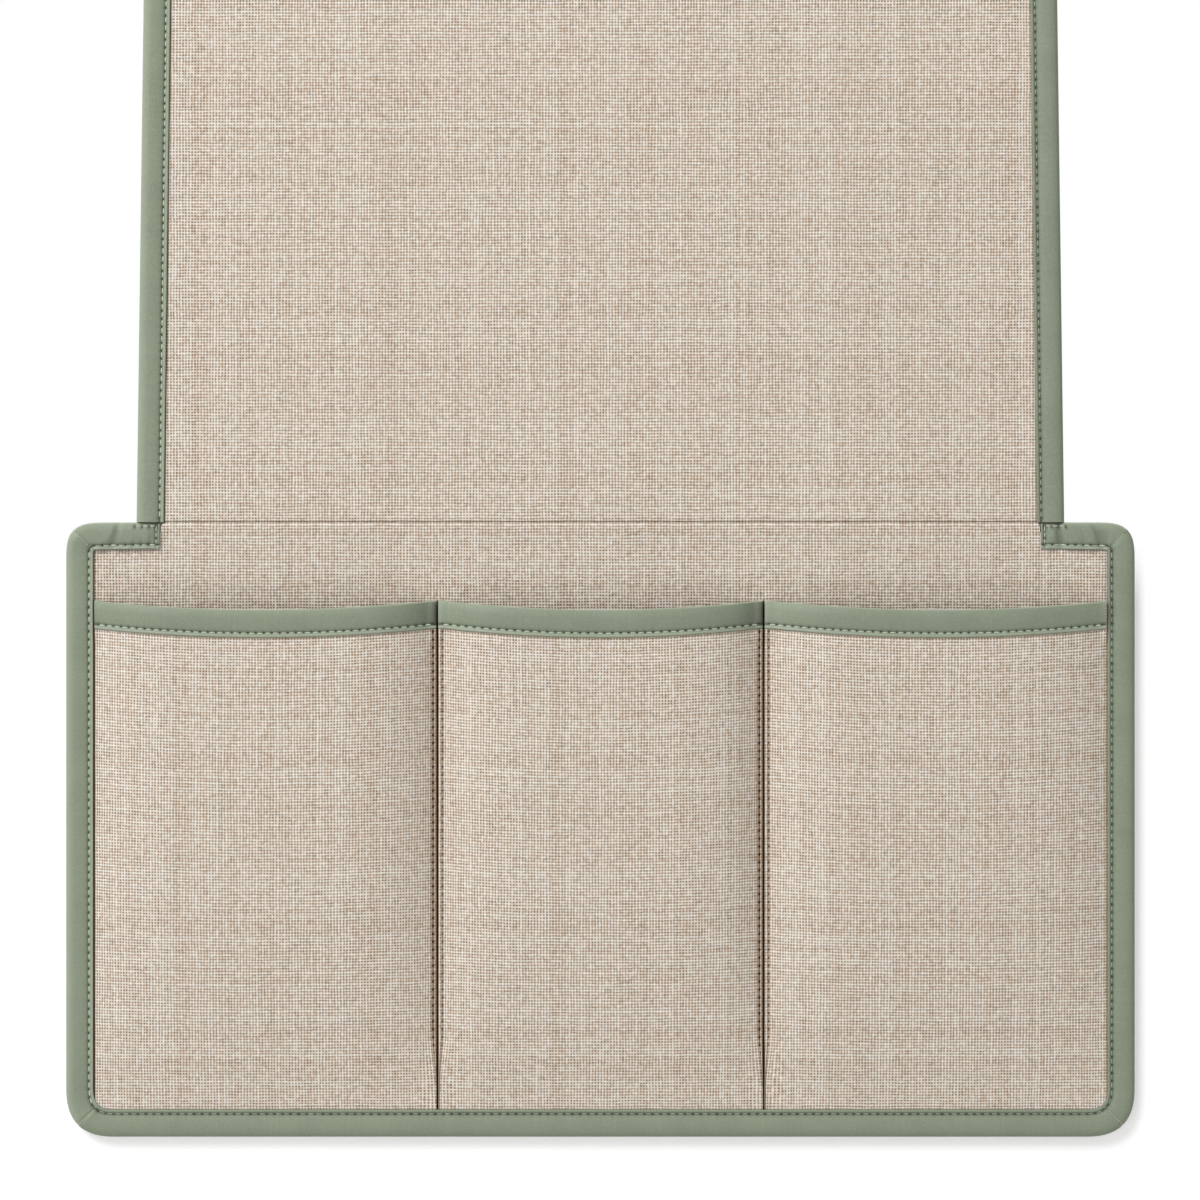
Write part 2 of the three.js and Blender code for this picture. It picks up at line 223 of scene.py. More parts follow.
# %% [markdown]
# ## A white studio
# The photograph's background is pure white, with a faint soft shadow low on the right. A
# backdrop just behind the caddy catches that shadow. It is lit like the caddy, and a little
# light of its own, for the camera alone, lifts it to white. It could fill the whole view, but
# then it would hide the caddy from behind, and the panel when it is folded up. So it is clear
# from behind, and it ends just under the fold, where it fades into the white world.

# %% Backdrop and floor
white = (1, 1, 1, 1)
backdrop_half = 3.0
backdrop_gap = 1.6 * mm
backdrop_top = fold_height - 6 * mm
faded_strip = 30 * mm
floor_size = 12
floor_drop = 0.2


def stage_material(name, tone, glow, faded_edge):
    """A matt white that glows a little for the camera, and is clear from behind."""
    shader = Shader(bpy.data.materials.new(name))
    paint = shader.add("BsdfDiffuse", sockets={"Color": (tone, tone, tone, 1)})
    light = shader.add("Emission", sockets={"Color": white, "Strength": glow})
    no_light = shader.add("Emission", sockets={"Strength": 0.0})
    for_camera = shader.add("LightPath", output=0)
    shown_light = shader.add("MixShader", sockets={0: for_camera, 1: no_light, 2: light})
    surface = shader.add("AddShader", sockets={0: paint, 1: shown_light})
    unseen = shader.add("NewGeometry", output=6)
    if faded_edge:
        place = shader.add("TexCoord", output=3)
        height = shader.add("SeparateXYZ", sockets={0: place}, output=1)
        unseen = unseen.math("MAXIMUM", height.smooth(backdrop_half - faded_strip, backdrop_half))
    clear = shader.add("BsdfTransparent")
    return shader.finish(shader.add("MixShader", sockets={0: unseen, 1: surface, 2: clear}))


def stage_plane(name, size, location, turn, material):
    bpy.ops.mesh.primitive_plane_add(size=size, location=location, rotation=turn)
    plane = bpy.context.object
    plane.name = name
    plane.data.materials.append(material)
    return plane


backdrop_place = (0, cad_box[1].y + backdrop_gap, backdrop_top - backdrop_half)
backdrop = stage_plane("backdrop", 2 * backdrop_half, backdrop_place, (right_angle, 0, 0),
                       stage_material("white_backdrop", 0.93, 0.24, faded_edge=True))
backdrop.visible_diffuse = False
backdrop.visible_glossy = False
backdrop.visible_transmission = False
backdrop.visible_shadow = False

floor_place = (0, 0, cad_box[0].z - floor_drop)
stage_plane("floor", floor_size, floor_place, (0, 0, 0),
            stage_material("white_floor", 0.70, 0.55, faded_edge=False))
print("backdrop at", in_mm(backdrop_place[1]), "and floor at", in_mm(floor_place[2]))

# %% [markdown]
# ## Soft light from the upper left
# The bright left flanks of the pockets and their dark right creases show a large lamp up on
# the left. The even flap shows that more than half of the light comes from all round. A white
# world gives that part, one area lamp gives the rest, and a weak one lights the back.

# %% World and lamps
def area_lamp(name, size, power, location):
    """A round lamp that shines at the middle of the picture and isn't seen itself."""
    data = bpy.data.lights.new(name, "AREA")
    data.shape = "DISK"
    data.size = size
    data.energy = power
    lamp = placed(name, data, location)
    aim = np.array((0, 0, camera_height)) - np.array(location)
    from_below = math.acos(-aim[2] / np.linalg.norm(aim))
    lamp.rotation_euler = (from_below, 0, math.atan2(aim[1], aim[0]) - right_angle)
    lamp.visible_camera = False


world = Shader(bpy.data.worlds.new("studio_air"))
even_light = world.add("Background", sockets={"Color": white, "Strength": 0.54})
white_view = world.add("Background", sockets={"Color": white, "Strength": 1.0})
for_camera = world.add("LightPath", output=0)
light_or_view = world.add("MixShader", sockets={0: for_camera, 1: even_light, 2: white_view})
bpy.context.scene.world = world.finish(light_or_view, "OutputWorld")

area_lamp("key_lamp", 2.6, 129, (-1.85, -2.45, camera_height + 2.55))
area_lamp("back_lamp", 1.2, 9, (-0.9, 1.5, camera_height + 1.0))

# %% [markdown]
# ## Falloffs and wandering lines
# Sewn cloth is made of soft transitions: a dimple at a needle hole, a wave that dies away from
# a seam. Three short functions give a bell, a fade and a smooth step. Two more give smooth
# noise for the unevenness of hand work, which is the same at every run.

# %% Bells, fades, steps and noise
def bell(distance, width):
    """1 at the distance 0, and next to nothing two widths away on either side."""
    return np.exp(-((distance / width) ** 2))


def fade(distance, reach):
    """1 at the distance 0, and about a third at the reach."""
    return np.exp(-distance / reach)


def smooth_share(value, low, high):
    """0 below low, 1 above high, and a smooth step between them."""
    share = np.clip((value - low) / (high - low), 0, 1)
    return share * share * (3 - 2 * share)


def wander(values, scale, seed):
    """Smooth noise from -1 to 1 along a line, one value for each place."""
    return np.array([noise.noise((value / scale, seed, seed / 3)) for value in values])


def wander_over(x, z, scale, seed):
    """Smooth noise from -1 to 1 over a surface, one value for each pair of places."""
    pairs = zip(x.ravel() / scale, z.ravel() / scale)
    return np.array([noise.noise((a, b, seed)) for a, b in pairs]).reshape(x.shape)


print("a bell one width away:", round(float(bell(1, 1)), 3))

# %% [markdown]
# ## Sheets as solids
# Cloth and tape are sheets with two skins. A flat sheet with a Solidify modifier would do for
# an even one, but here the inner skin lies flat where the outer one is raised. So both skins
# are grids of points with the same rows and columns, and a wall joins them all round. If the
# solid's volume comes out below 0, its faces point inwards and are turned round.

# %% The faces between two grids
def signed_volume(points, faces):
    a, b, c, d = (points[faces[:, corner]] for corner in range(4))
    first = np.einsum("ij,ij->i", a, np.cross(b, c))
    second = np.einsum("ij,ij->i", a, np.cross(c, d))
    return float((first + second).sum())


def closed_faces(rows, columns, points):
    """The faces of two grids of points and of the walls between them, all turned outwards."""
    number = np.arange(rows * columns).reshape(rows, columns)
    under = number + rows * columns
    front = np.stack([number[:-1, :-1], number[:-1, 1:], number[1:, 1:], number[1:, :-1]], -1)
    back = np.stack([under[:-1, :-1], under[1:, :-1], under[1:, 1:], under[:-1, 1:]], -1)
    walls = []
    for edge, below in ((number[0, ::-1], under[0, ::-1]), (number[-1], under[-1]),
                        (number[:, 0], under[:, 0]), (number[::-1, -1], under[::-1, -1])):
        walls.append(np.stack([edge[:-1], edge[1:], below[1:], below[:-1]], -1))
    faces = np.concatenate([front.reshape(-1, 4), back.reshape(-1, 4), *walls])
    return faces[:, ::-1] if signed_volume(points, faces) < 0 else faces


corners = np.array([(x, y, z) for z in (0, 1) for y in (0, 1) for x in (0, 1)])
print("two grids of 2 by 2 points make", len(closed_faces(2, 2, corners)), "faces")

# %% [markdown]
# The places on the cut sheet go into a UV map, so that a woven pattern follows the cloth. An
# attribute holds the light and shade that are painted into the colour. Above 0 it is painted
# shade, in a fold, a groove or a needle hole. Below 0 it is a painted highlight on tape, and on
# cloth it is painted shade that darkens the gaps of the weave and thins its threads.

# %% A closed sheet from two grids
def piece_of(name, mesh, material):
    mesh.materials.append(material)
    return placed(name, mesh)


def sheet_between(name, outer, inner, flat, painted_shading, material, sharp):
    """A closed sheet between two grids of points. flat gives each point's place on the cut
    sheet, and sharp the angle from which an edge between faces is not smoothed."""
    rows, columns = outer.shape[:2]
    points = np.concatenate([outer.reshape(-1, 3), inner.reshape(-1, 3)])
    faces = closed_faces(rows, columns, points)
    mesh = bpy.data.meshes.new(name)
    mesh.from_pydata(points.tolist(), [], faces.tolist())
    places = np.concatenate([flat.reshape(-1, 2), flat.reshape(-1, 2)])
    layer = mesh.uv_layers.new(name="cut")
    layer.data.foreach_set("uv", places[faces.ravel()].astype(np.float32).ravel())
    depth = np.concatenate([painted_shading.ravel(), np.zeros(painted_shading.size)]).clip(-1, 1)
    mesh.attributes.new("painted_shading", "FLOAT", "POINT").data.foreach_set("value", depth)
    mesh.shade_smooth()
    piece = piece_of(name, mesh, material)
    bpy.ops.object.select_all(action="DESELECT")
    piece.select_set(True)
    bpy.context.view_layer.objects.active = piece
    bpy.ops.object.shade_smooth_by_angle(angle=math.radians(sharp))
    return piece


def stands_for(piece, node, slot, size, **sheet):
    """Hides the node that a sheet replaces and prints how large it was cut. The slot and the
    other keywords are not used.
    """
    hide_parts(node)
    print(piece.name, "cut", in_mm(size[0]), "by", in_mm(size[1]))


print("sheet tools ready")

# %% [markdown]
# ## Linen-look cloth
# The cloth is a plain weave of cream threads, 1.24 mm apart both ways, over a tan ground that
# shows through the gaps. No two threads are alike: each has its own width and tone, wanders a
# little, and thickens into slubs. A picture of cloth would repeat itself, so the threads are
# worked out from the sheet's own UV map, which is in metres. First comes one set of threads.
# How far a thread sways, and how wide and how soft it is, are shares of the threads' pitch.

# %% One set of threads
thread_pitch = 1.245 * mm
sway_reach = 0.7
width_spread = 0.07
slub_spread = 0.28
soft_edge = 0.17
round_half = 0.42


def toned(colour, factor):
    """A colour made darker or paler."""
    return [min(1.0, channel * factor) for channel in colour[:3]] + [1]


def thread_set(shader, across, along, seed, fullness):
    """Parallel threads: how much each point is covered, the thread's tone and number there,
    and how round it stands."""
    sway_place = shader.add("CombineXYZ", sockets={0: along * 40.0, 1: across * 80.0 + seed})
    sway = shader.soft_noise(sway_place, detail=3.0, dimensions="2D", roughness=0.6)
    place = across / thread_pitch + (sway - 0.5) * sway_reach
    number = place.math("FLOOR")
    beside = (place - number - 0.5).math("ABSOLUTE")
    own_width, own_tone = (
        shader.add("TexWhiteNoise", {"noise_dimensions": "1D"}, {"W": key})
        for key in (number + seed, number * 3.1 + seed)
    )
    slub_place = shader.add("CombineXYZ", sockets={0: along * 420.0, 1: number * 7.7 + seed})
    slub = shader.soft_noise(slub_place, dimensions="2D")
    half = fullness + (own_width - 0.5) * width_spread + (slub - 0.5) * slub_spread
    cover = 1.0 - (beside - half).smooth(-soft_edge, soft_edge)
    roundness = 1.0 - (beside / round_half).math("POWER", 2.0).math("MINIMUM", 1.0)
    return cover, own_tone * 0.3 + slub * 0.7, number, roundness


print("threads", in_mm(thread_pitch), "apart")

# %% [markdown]
# The cloth has two such sets, and at a crossing either the one or the other lies on top. Where
# neither covers the ground, the gap shows tan. Painted shade turns the cloth tan and then nearly
# black, first in the gaps and then on the threads. The relief follows the roundness of the
# threads.

# %% Cloth material
cream_thread = (0.75, 0.704, 0.637, 1)
cream_shade = (0.61, 0.52, 0.425, 1)
tan_ground = (0.27, 0.158, 0.078, 1)
painted_fold_shade = (0.020, 0.0145, 0.009, 1)
warp_half, weft_half = 0.25, 0.235
gap_shade_thinning = 0.05
weave_relief = 0.28 * mm


def linen(name):
    shader = Shader(bpy.data.materials.new(name))
    cut = shader.add("UVMap", {"uv_map": "cut"})
    x, y = (shader.add("SeparateXYZ", sockets={0: cut}, output=axis) for axis in (0, 1))
    painted_shading = shader.add("Attribute", {"attribute_name": "painted_shading"}, output=2)
    # Above 0 the attribute is painted shade. Below 0 it is painted shade above the pockets'
    # mouths, which darkens the weave's gaps and thins its threads.
    fold = painted_shading.math("MAXIMUM", 0.0)
    gap_shade = (painted_shading * -1.0).math("MAXIMUM", 0.0)
    broad = shader.soft_noise(cut, 70.0, 3.0, "2D")
    warp_width = warp_half + (broad - 0.5) * 0.10 - gap_shade * gap_shade_thinning
    weft_width = weft_half - (broad - 0.5) * 0.12 - gap_shade * gap_shade_thinning
    warp, warp_tone, warp_number, warp_back = thread_set(shader, x, y, 11.0, warp_width)
    weft, weft_tone, weft_number, weft_back = thread_set(shader, y, x, 47.0, weft_width)
    cover = warp.math("MAXIMUM", weft)
    crossing = warp * weft
    warp_over = ((warp_number + weft_number) * 0.5).math("FRACT") * 2.0
    on_top = warp_over * warp_tone + (1.0 - warp_over) * weft_tone
    single = (warp_tone * warp + weft_tone * weft) / (warp + weft).math("MAXIMUM", 0.05)
    tone = single + crossing * (on_top - single)
    # Crossings are painted paler: a painted highlight where the upper thread stands up.
    yarn_tone = (tone + crossing * 0.22).smooth(0.22, 0.85)
    yarn = shader.blend_colours(yarn_tone, cream_shade, cream_thread)
    gap = shader.soft_noise(cut, 300.0, dimensions="2D")
    # The gaps' tone wanders at random, and painted shade above the mouths darkens them further.
    gap_depth = gap.smooth(0.35, 0.65) + gap_shade
    depth = shader.blend_colours(gap_depth, tan_ground, toned(tan_ground, 0.6))
    colour = shader.blend_colours(cover, depth, yarn)
    # Painted shade turns the cloth tan, first in the gaps and then on the threads, and then nearly
    # black.
    sunk = fold * (1.0 - cover) + fold * fold * cover
    colour = shader.blend_colours(sunk * 1.2, colour, tan_ground)
    colour = shader.blend_colours(painted_shading.smooth(0.6, 1.0), colour, painted_fold_shade)
    height = (warp * warp_back).math("MAXIMUM", weft * weft_back) + crossing * 0.25 + tone * 0.1
    roughness = 0.86 + (1.0 - cover) * 0.1
    return shader.surface(colour, roughness, height, weave_relief, 0.4, specular=0.12)


linen_material = linen("linen_weave")
print("cloth material", linen_material.name)

# %% [markdown]
# ## Leatherette tape, thread and board
# The tape is a smooth matte sage green with a fine skin grain, cloudy in places. A painted
# highlight makes it paler on its lips and on its lit rolled edges, and painted shade darkens its
# grooves, needle holes and puckers. The sewing thread on it is the same green, a tone lighter.
# The thread in the pockets' seams is a dark tan, and the boards inside are pale grey. Thread
# and board are plain fibrous stuffs, so one function makes both.

# %% Tape, thread and board materials
sage = (0.199, 0.232, 0.162, 1)
sage_worn = (0.28, 0.322, 0.232, 1)
sage_clouded = (0.221, 0.256, 0.180, 1)
sage_highlight = (0.40, 0.45, 0.35, 1)
sage_thread = (0.42, 0.47, 0.36, 1)
dark_tan = (0.055, 0.032, 0.018, 1)


def leatherette(name):
    shader = Shader(bpy.data.materials.new(name))
    cut = shader.add("UVMap", {"uv_map": "cut"})
    place = shader.add("TexCoord", output=3)
    painted_shading = shader.add("Attribute", {"attribute_name": "painted_shading"}, output=2)
    cloud = shader.soft_noise(place, 60.0, 3.0)
    grain = shader.soft_noise(place, 1500.0, 3.0)
    pores = shader.add(
        "TexVoronoi", {"feature": "DISTANCE_TO_EDGE"}, {"Vector": place, "Scale": 1900.0})
    drawn = shader.add("VectorMath", {"operation": "MULTIPLY"}, {0: cut, 1: (900.0, 90.0, 1.0)})
    streaks = shader.soft_noise(drawn, 1.0, 1.0, "2D")
    tint = shader.blend_colours(cloud.smooth(0.3, 0.7) * 0.8, sage, sage_clouded)
    tint = shader.blend_colours(streaks.smooth(0.55, 0.9) * 0.25, tint, sage_worn)
    tint = shader.blend_colours(grain.smooth(0.42, 0.7) * 0.4, tint, sage_worn)
    # A painted highlight makes the tape paler where the attribute is below 0, and painted shade
    # makes it nearly black where it is above 0.
    tint = shader.blend_colours(painted_shading * -1.0, tint, sage_highlight)
    tint = shader.blend_colours(painted_shading, tint, toned(sage, 0.1))
    height = grain * 0.6 + pores.smooth(0.0, 0.25) * 0.25 + streaks * 0.3
    return shader.surface(tint, 0.42 + cloud * 0.12, height, 0.2 * mm, 0.5, specular=0.45)


def fibrous(name, colour, pale, scale, roughness, relief, strength):
    shader = Shader(bpy.data.materials.new(name))
    fibre = shader.soft_noise(shader.add("TexCoord", output=3), scale)
    tint = shader.blend_colours(fibre.smooth(0.35, 0.65), colour, pale)
    return shader.surface(tint, roughness, fibre, relief, strength)


tape_material = leatherette("sage_leatherette")
green_thread, tan_thread = (
    fibrous(name, colour, toned(colour, 1.25), 2500.0, 0.6, 0.08 * mm, 0.4)
    for name, colour in (("sage_thread", sage_thread), ("tan_thread", dark_tan))
)
board_material = fibrous("grey_board", (0.72, 0.69, 0.63, 1), (0.80, 0.77, 0.71, 1),
                         700.0, 0.7, 0.1 * mm, 0.2)
print("materials:", [material.name for material in bpy.data.materials])

# %% [markdown]
# ## Levels through the caddy
# A level counts forwards from the back of the cloth, towards the pockets. The cloth's face is
# where the frame has it. The tape's lip rides a little above the cloth, and the fine dark line
# in the photograph is the shadow in that gap.

# %% Levels and edges, from the frame
cloth_face = -cloth_plane
cloth_thickness = 0.8 * mm
panel_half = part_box("panel_binding_right")[1].x
panel_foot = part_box("panel_binding_bottom")[0].z
flap_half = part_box("flap_binding_right")[1].x
flap_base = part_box("flap_binding_right")[0].z
flap_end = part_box("flap_binding_end")[1].z
flap_length = flap_end - flap_base
flap_taper = 4.0 * mm
binding_width = 11.4 * mm
lap_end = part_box("shoulder_binding_right")[0].x
rim_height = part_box("pocket_right")[1].z

print("panel half width", in_mm(panel_half), "and fold at", in_mm(fold_height))

# %% [markdown]
# ## Folded tape
# The tape could be a swept profile on a curve, but a curve gives every place the same profile.
# On the real caddy the needle pulls the tape down at each hole, and the tape puckers between.
# So the strip is made station by station: each is a line from the outer edge to the inner one,
# and the profile's levels change from station to station.
#
# The tape's two edge lines come first. They turn together at a corner.

# %% Corners of an edge
corner_steps = 40
foot_forms = ((20.8 * mm, 2.6), (9.4 * mm, 2.9))
shoulder_forms = ((17.3 * mm, 3.6), (1.6 * mm, 3.0))


def corner_line(point, inward, reach, fullness, turns):
    """A rounded corner from its side edge to its level edge. A larger fullness is squarer."""
    from_side = reach * (1 - np.cos(turns) ** (2 / fullness))
    from_level = reach * (1 - np.sin(turns) ** (2 / fullness))
    return np.stack([point[0] + inward[0] * from_side, point[1] + inward[1] * from_level], -1)


def corner_edges(point, inward, forms, start, end):
    """The outer and the inner edge of the tape round a corner, between two turns. The forms
    are the reach and the fullness of each edge's corner."""
    turns = np.clip(np.linspace(start, end, corner_steps), 1e-6, right_angle - 1e-6)
    inner_point = (point[0] + inward[0] * binding_width, point[1] + inward[1] * binding_width)
    outer = corner_line(point, inward, *forms[0], turns)
    inner = corner_line(inner_point, inward, *forms[1], turns)
    return np.stack([outer, inner])


print("foot corners reach", in_mm(foot_forms[0][0]), "and", in_mm(foot_forms[1][0]))

# %% [markdown]
# A tape ends at the diagonal of a corner, where the next one meets it in a mitre. The stations
# are spread along the seam, so that six of them make one stitch and the holes fall evenly.

# %% Edge lines from mitre to mitre
stitch_pitch = 3.3 * mm
stations_per_stitch = 6
stitch_inset = 1.75 * mm
mitre_gap = 0.04 * mm
mitre_turn = right_angle / 2


def opened(edges, first, last):
    """The edge lines with their two ends moved apart from the mitres."""
    edges[:, 0] += first
    edges[:, -1] += last
    return edges


def across_end(point, up):
    """The edge lines of a tape across an end, from the right mitre to the left one."""
    right = corner_edges(point, (-1, up), foot_forms, mitre_turn, right_angle)
    left = right[:, ::-1] * np.array([-1, 1])
    return opened(np.concatenate([right, left], 1), (-mitre_gap, 0), (mitre_gap, 0))


def evenly(edges):
    """Both edges again, with stations that divide whole stitches along the seam."""
    outer, inner = edges
    seam = inner + (outer - inner) * stitch_inset / binding_width
    lengths = np.linalg.norm(np.diff(seam, axis=0), axis=1)
    along = np.concatenate([[0], np.cumsum(lengths)])
    stitches = max(2, round(along[-1] / stitch_pitch))
    places = np.linspace(0, along[-1], stitches * stations_per_stitch + 1)
    pick = [np.interp(places, along, edge[:, axis]) for edge in edges for axis in (0, 1)]
    return np.stack([np.stack(pick[:2], -1), np.stack(pick[2:], -1)]), places


print("stitches", in_mm(stitch_pitch), "apart")

# %% [markdown]
# ## The tape's profile
# The profile runs from the lip on the front, over the stitch groove and the dome, round the
# outer edge, and back to the lip behind. Each pair is a distance from the tape's inner edge
# and a level above the cloth, in millimetres. The painted shading of each front point goes with
# it: painted shade darkens the lip's foot and the groove, and a painted highlight makes the lip
# itself pale. On the right and along the foot the light comes over the tape, so the lip there
# gets next to no painted highlight and the groove gets more painted shade.

# %% Points of the profile
edge_roll = 2.9 * mm
tape_thickness = 0.7 * mm
roll_turns = np.linspace(0, math.pi, 9)[1:-1]
front_profile = [
    (0.0, 0.06), (0.0, 0.46), (0.12, 0.68), (0.42, 0.84), (0.90, 0.80), (1.30, 0.52),
    (1.75, 0.16), (2.05, 0.52), (2.5, 0.90), (3.4, 1.16), (4.7, 1.40), (6.2, 1.55), (7.8, 1.54),
]
back_profile = [
    (7.6, 0.62), (5.6, 0.64), (3.4, 0.58), (2.3, 0.42), (1.75, 0.24), (1.3, 0.40), (0.6, 0.46),
    (0.12, 0.40), (0.0, 0.26), (0.0, 0.05),
]
# Painted shading of the front points, shade above 0 and highlight below 0: one set for the lit
# side and one for the side away from the light.
front_shading_in_light = (0.9, 0.3, -0.2, -0.55, -0.55, -0.15, 0.5, 0.5, 0.15, 0, 0, 0, 0)
front_shading_in_shade = (0.9, 0.5, 0.1, -0.1, -0.05, 0.25, 0.8, 0.7, 0.25, 0, 0, 0, 0)
# Painted highlights on the rolled edge: none, on the lit left side, and along the top edges.
roll_plain, roll_lit, top_roll_highlight = (0, 0, 0, 0), (-0.2, -0.4, -0.7, -0.9), (0, -0.2, -1, -1)
groove_front = 6
groove_in_back = 4
groove_back = len(front_profile) + len(roll_turns) + groove_in_back
print("profile of", len(front_profile) + len(roll_turns) + len(back_profile), "points")

# %% [markdown]
# Each needle hole is a dimple in the groove, and the dome's flank is drawn in beside it, which
# gives the scalloped line of the photograph; painted shade darkens the dimple. Between the
# holes the tape puckers, and painted shade darkens the valleys of the puckers a little. At a
# mitre the tape stands up in a small ridge and dives into the seam.

# %% The profile at every station
ridge_height, ridge_reach = 0.28 * mm, 1.8 * mm
dive_depth, dive_reach = 1.6 * ridge_height, 0.3 * mm
hole_depth = 0.22 * mm
hole_share = 0.13
dome_width = 3 * mm
lip_foot = 0.3 * mm


def mitre_ridge(places, mitres):
    """How far the tape stands up beside a mitred start or end, and dives at its very edge."""
    ridge = np.zeros(len(places))
    for mitre, start in zip(mitres, (places[0], places[-1])):
        if mitre:
            ridge += ridge_height * bell(places - start, ridge_reach)
            ridge -= dive_depth * bell(places - start, dive_reach)
    return ridge[:, None]


def tape_levels(places, front_level, back_level, seed, pucker, roll, mitres, square_end,
                roll_shading, shaded):
    """The profile at every station: each point's distance from the outer edge, its level and
    its painted shade or highlight."""
    from_hole = np.abs(np.arange(len(places)) / stations_per_stitch % 1 - 0.5)[:, None]
    holes = bell(from_hole, hole_share)
    waves = (wander(places, 6 * mm, seed) + 0.5 * wander(places, 2.6 * mm, seed + 5))[:, None]
    slow = wander(places, 40 * mm, seed + 9)[:, None]
    ridge = mitre_ridge(places, mitres)
    front, back = np.array(front_profile) * mm, np.array(back_profile) * mm
    near = bell(np.arange(len(front)) - groove_front - 1.0, 0.8)
    dome = np.clip(front[:, 0] / dome_width, 0, 1)
    lip = (1 - dome) * (front[:, 1] > lip_foot)
    front_heights = front_level[:, None] + front[:, 1] - holes * near * hole_depth
    front_heights += (waves * pucker + slow * 0.10 * mm + ridge) * dome
    front_heights += (waves * 0.6 * pucker + 0.4 * ridge) * lip
    if square_end:
        from_lip = front[1:, 0] + 1e-6 * np.arange(len(front) - 1)
        end_limit = np.interp(places[-1] - places, from_lip, front[1:, 1])
        front_heights = np.minimum(front_heights, (front_level + end_limit)[:, None])
    from_groove = np.abs(np.arange(len(back)) - groove_in_back)
    back_heights = back_level - back[:, 1] + holes * 0.12 * mm * fade(from_groove, 1.0)
    top, bottom = front_heights[:, -1:], back_heights[:, :1]
    roll_heights = (top + bottom) / 2 + (top - bottom) / 2 * np.cos(roll_turns)
    heights = np.concatenate([front_heights, roll_heights, back_heights], 1)
    inset = np.concatenate([binding_width - front[:, 0], roll * (1 - np.sin(roll_turns)),
                            binding_width - back[:, 0]])
    # Painted shading: the lit or shaded front, painted shade in the needle holes, the pucker
    # valleys and the back groove, and painted highlights on the rolled edge.
    painted_shading = np.zeros(heights.shape)
    along_front = np.array(front_shading_in_shade if shaded else front_shading_in_light)
    painted_shading[:, :len(front)] = along_front * (0.75 + 0.25 * waves) + holes * near * 0.9
    painted_shading[:, :len(front)] += np.clip(-waves, 0, 1) * pucker * 350 * dome
    painted_shading[:, len(front):len(front) + len(roll_shading)] = roll_shading
    painted_shading[:, groove_back] = 0.3 + 0.6 * holes[:, 0]
    return np.tile(inset, (len(places), 1)), heights, painted_shading


print("a mitre's ridge stands up", in_mm(ridge_height))

# %% [markdown]
# Under the raised front of the tape, its inner skin lies flat on the cloth. Only at the rolled
# edge does it follow the roll, a little more than half of the tape's thickness inside it.

# %% The tape's inner skin
def tape_inside(inset, heights, front_level, back_level, roll):
    """The tape's inner skin: flat against the cloth, and round inside the rolled edge."""
    first, last = len(front_profile), inset.shape[1] - len(back_profile)
    inner_inset, inner_heights = inset.copy(), heights.copy()
    inner_heights[:, :first] = front_level[:, None]
    inner_heights[:, last:] = back_level
    middle, half = (front_level + back_level)[:, None] / 2, (front_level - back_level)[:, None] / 2
    inner_inset[:, first:last] = roll - (roll - 0.55 * tape_thickness) * np.sin(roll_turns)
    inner_heights[:, first:last] = middle + half * np.cos(roll_turns)
    return inner_inset, inner_heights


print("tape", in_mm(tape_thickness), "thick")

# %% [markdown]
# ## Laying the tape along an edge
# A profile's point at the distance 0 lies on the outer edge line, and one at the binding's
# width lies on the inner edge line. Single stitches off the groove press small wells into the
# tape. Painted shade can darken the ends of a tape, because a rim tape lies in shade where it
# runs under the next pocket's fold, and a painted highlight can lighten them. Last the node that
# the sheet stands for is hidden.

# %% Sweep the profile along two edge lines
well_radius, well_depth = 0.7 * mm, 0.35 * mm
front_from = 2 * mm
wide_shade, close_shade = 9 * mm, 1.2 * mm


def on_edges(edges, inset, heights):
    outer, inner = edges
    share = (inset / binding_width)[..., None]
    flat = outer[:, None, :] + (inner - outer)[:, None, :] * share
    return np.stack([flat[..., 0], -heights, flat[..., 1]], -1)


def pressed(skin, painted_shading, wells):
    """Presses small dimples into the front of a skin, and paints shade into them."""
    for x, z in wells:
        away = np.hypot(skin[..., 0] - x, skin[..., 2] - z)
        dent = bell(away, well_radius) * (skin[..., 1] < -front_from)
        skin[..., 1] += dent * well_depth
        painted_shading += dent


def folded_tape(node, edges, front_level, seed, back_level=-0.05 * mm, mitres=(0, 0),
                pucker=0.06 * mm, roll=edge_roll, wells=(), shape=None, square_end=False,
                end_shades=(0, 0), roll_shading=roll_plain, shaded=False):
    """A piece of tape folded over an edge, as the sheet that stands for its node."""
    edges, places = evenly(edges)
    if callable(front_level):
        level = front_level(edges[0][:, 1])
    else:
        level = np.full(len(places), front_level)
    inset, heights, painted_shading = tape_levels(places, level, back_level, seed, pucker, roll, mitres,
                                         square_end, roll_shading, shaded)
    hidden = tape_inside(inset, heights, level, back_level, roll)
    # Painted shade towards an end whose share is above 0, and a painted highlight where it is
    # below 0.
    for shade, gone in zip(end_shades, (places, places[-1] - places)):
        soft = 0.45 * fade(gone, wide_shade) + 0.55 * fade(gone, close_shade)
        painted_shading += shade * soft[:, None] * (1 - np.abs(painted_shading))
    skins = [on_edges(edges, inset, heights), on_edges(edges, *hidden)]
    pressed(skins[0], painted_shading, wells)
    if shape:
        skins = [shape(skin) for skin in skins]
    steps = np.linalg.norm(np.diff(skins[0], axis=1), axis=2)
    across = np.concatenate([np.zeros((len(places), 1)), np.cumsum(steps, 1)], 1)
    flat = np.stack([np.repeat(places[:, None], inset.shape[1], 1) + seed, across], -1)
    piece = sheet_between(node + "_tape", *skins, flat, painted_shading, tape_material, sharp=60)
    size = (float(across[:, -1].mean()), float(places[-1]))
    stands_for(piece, node, "binding_tape", size, held="folded")
    return piece, skins[0]


print("tape tools ready")

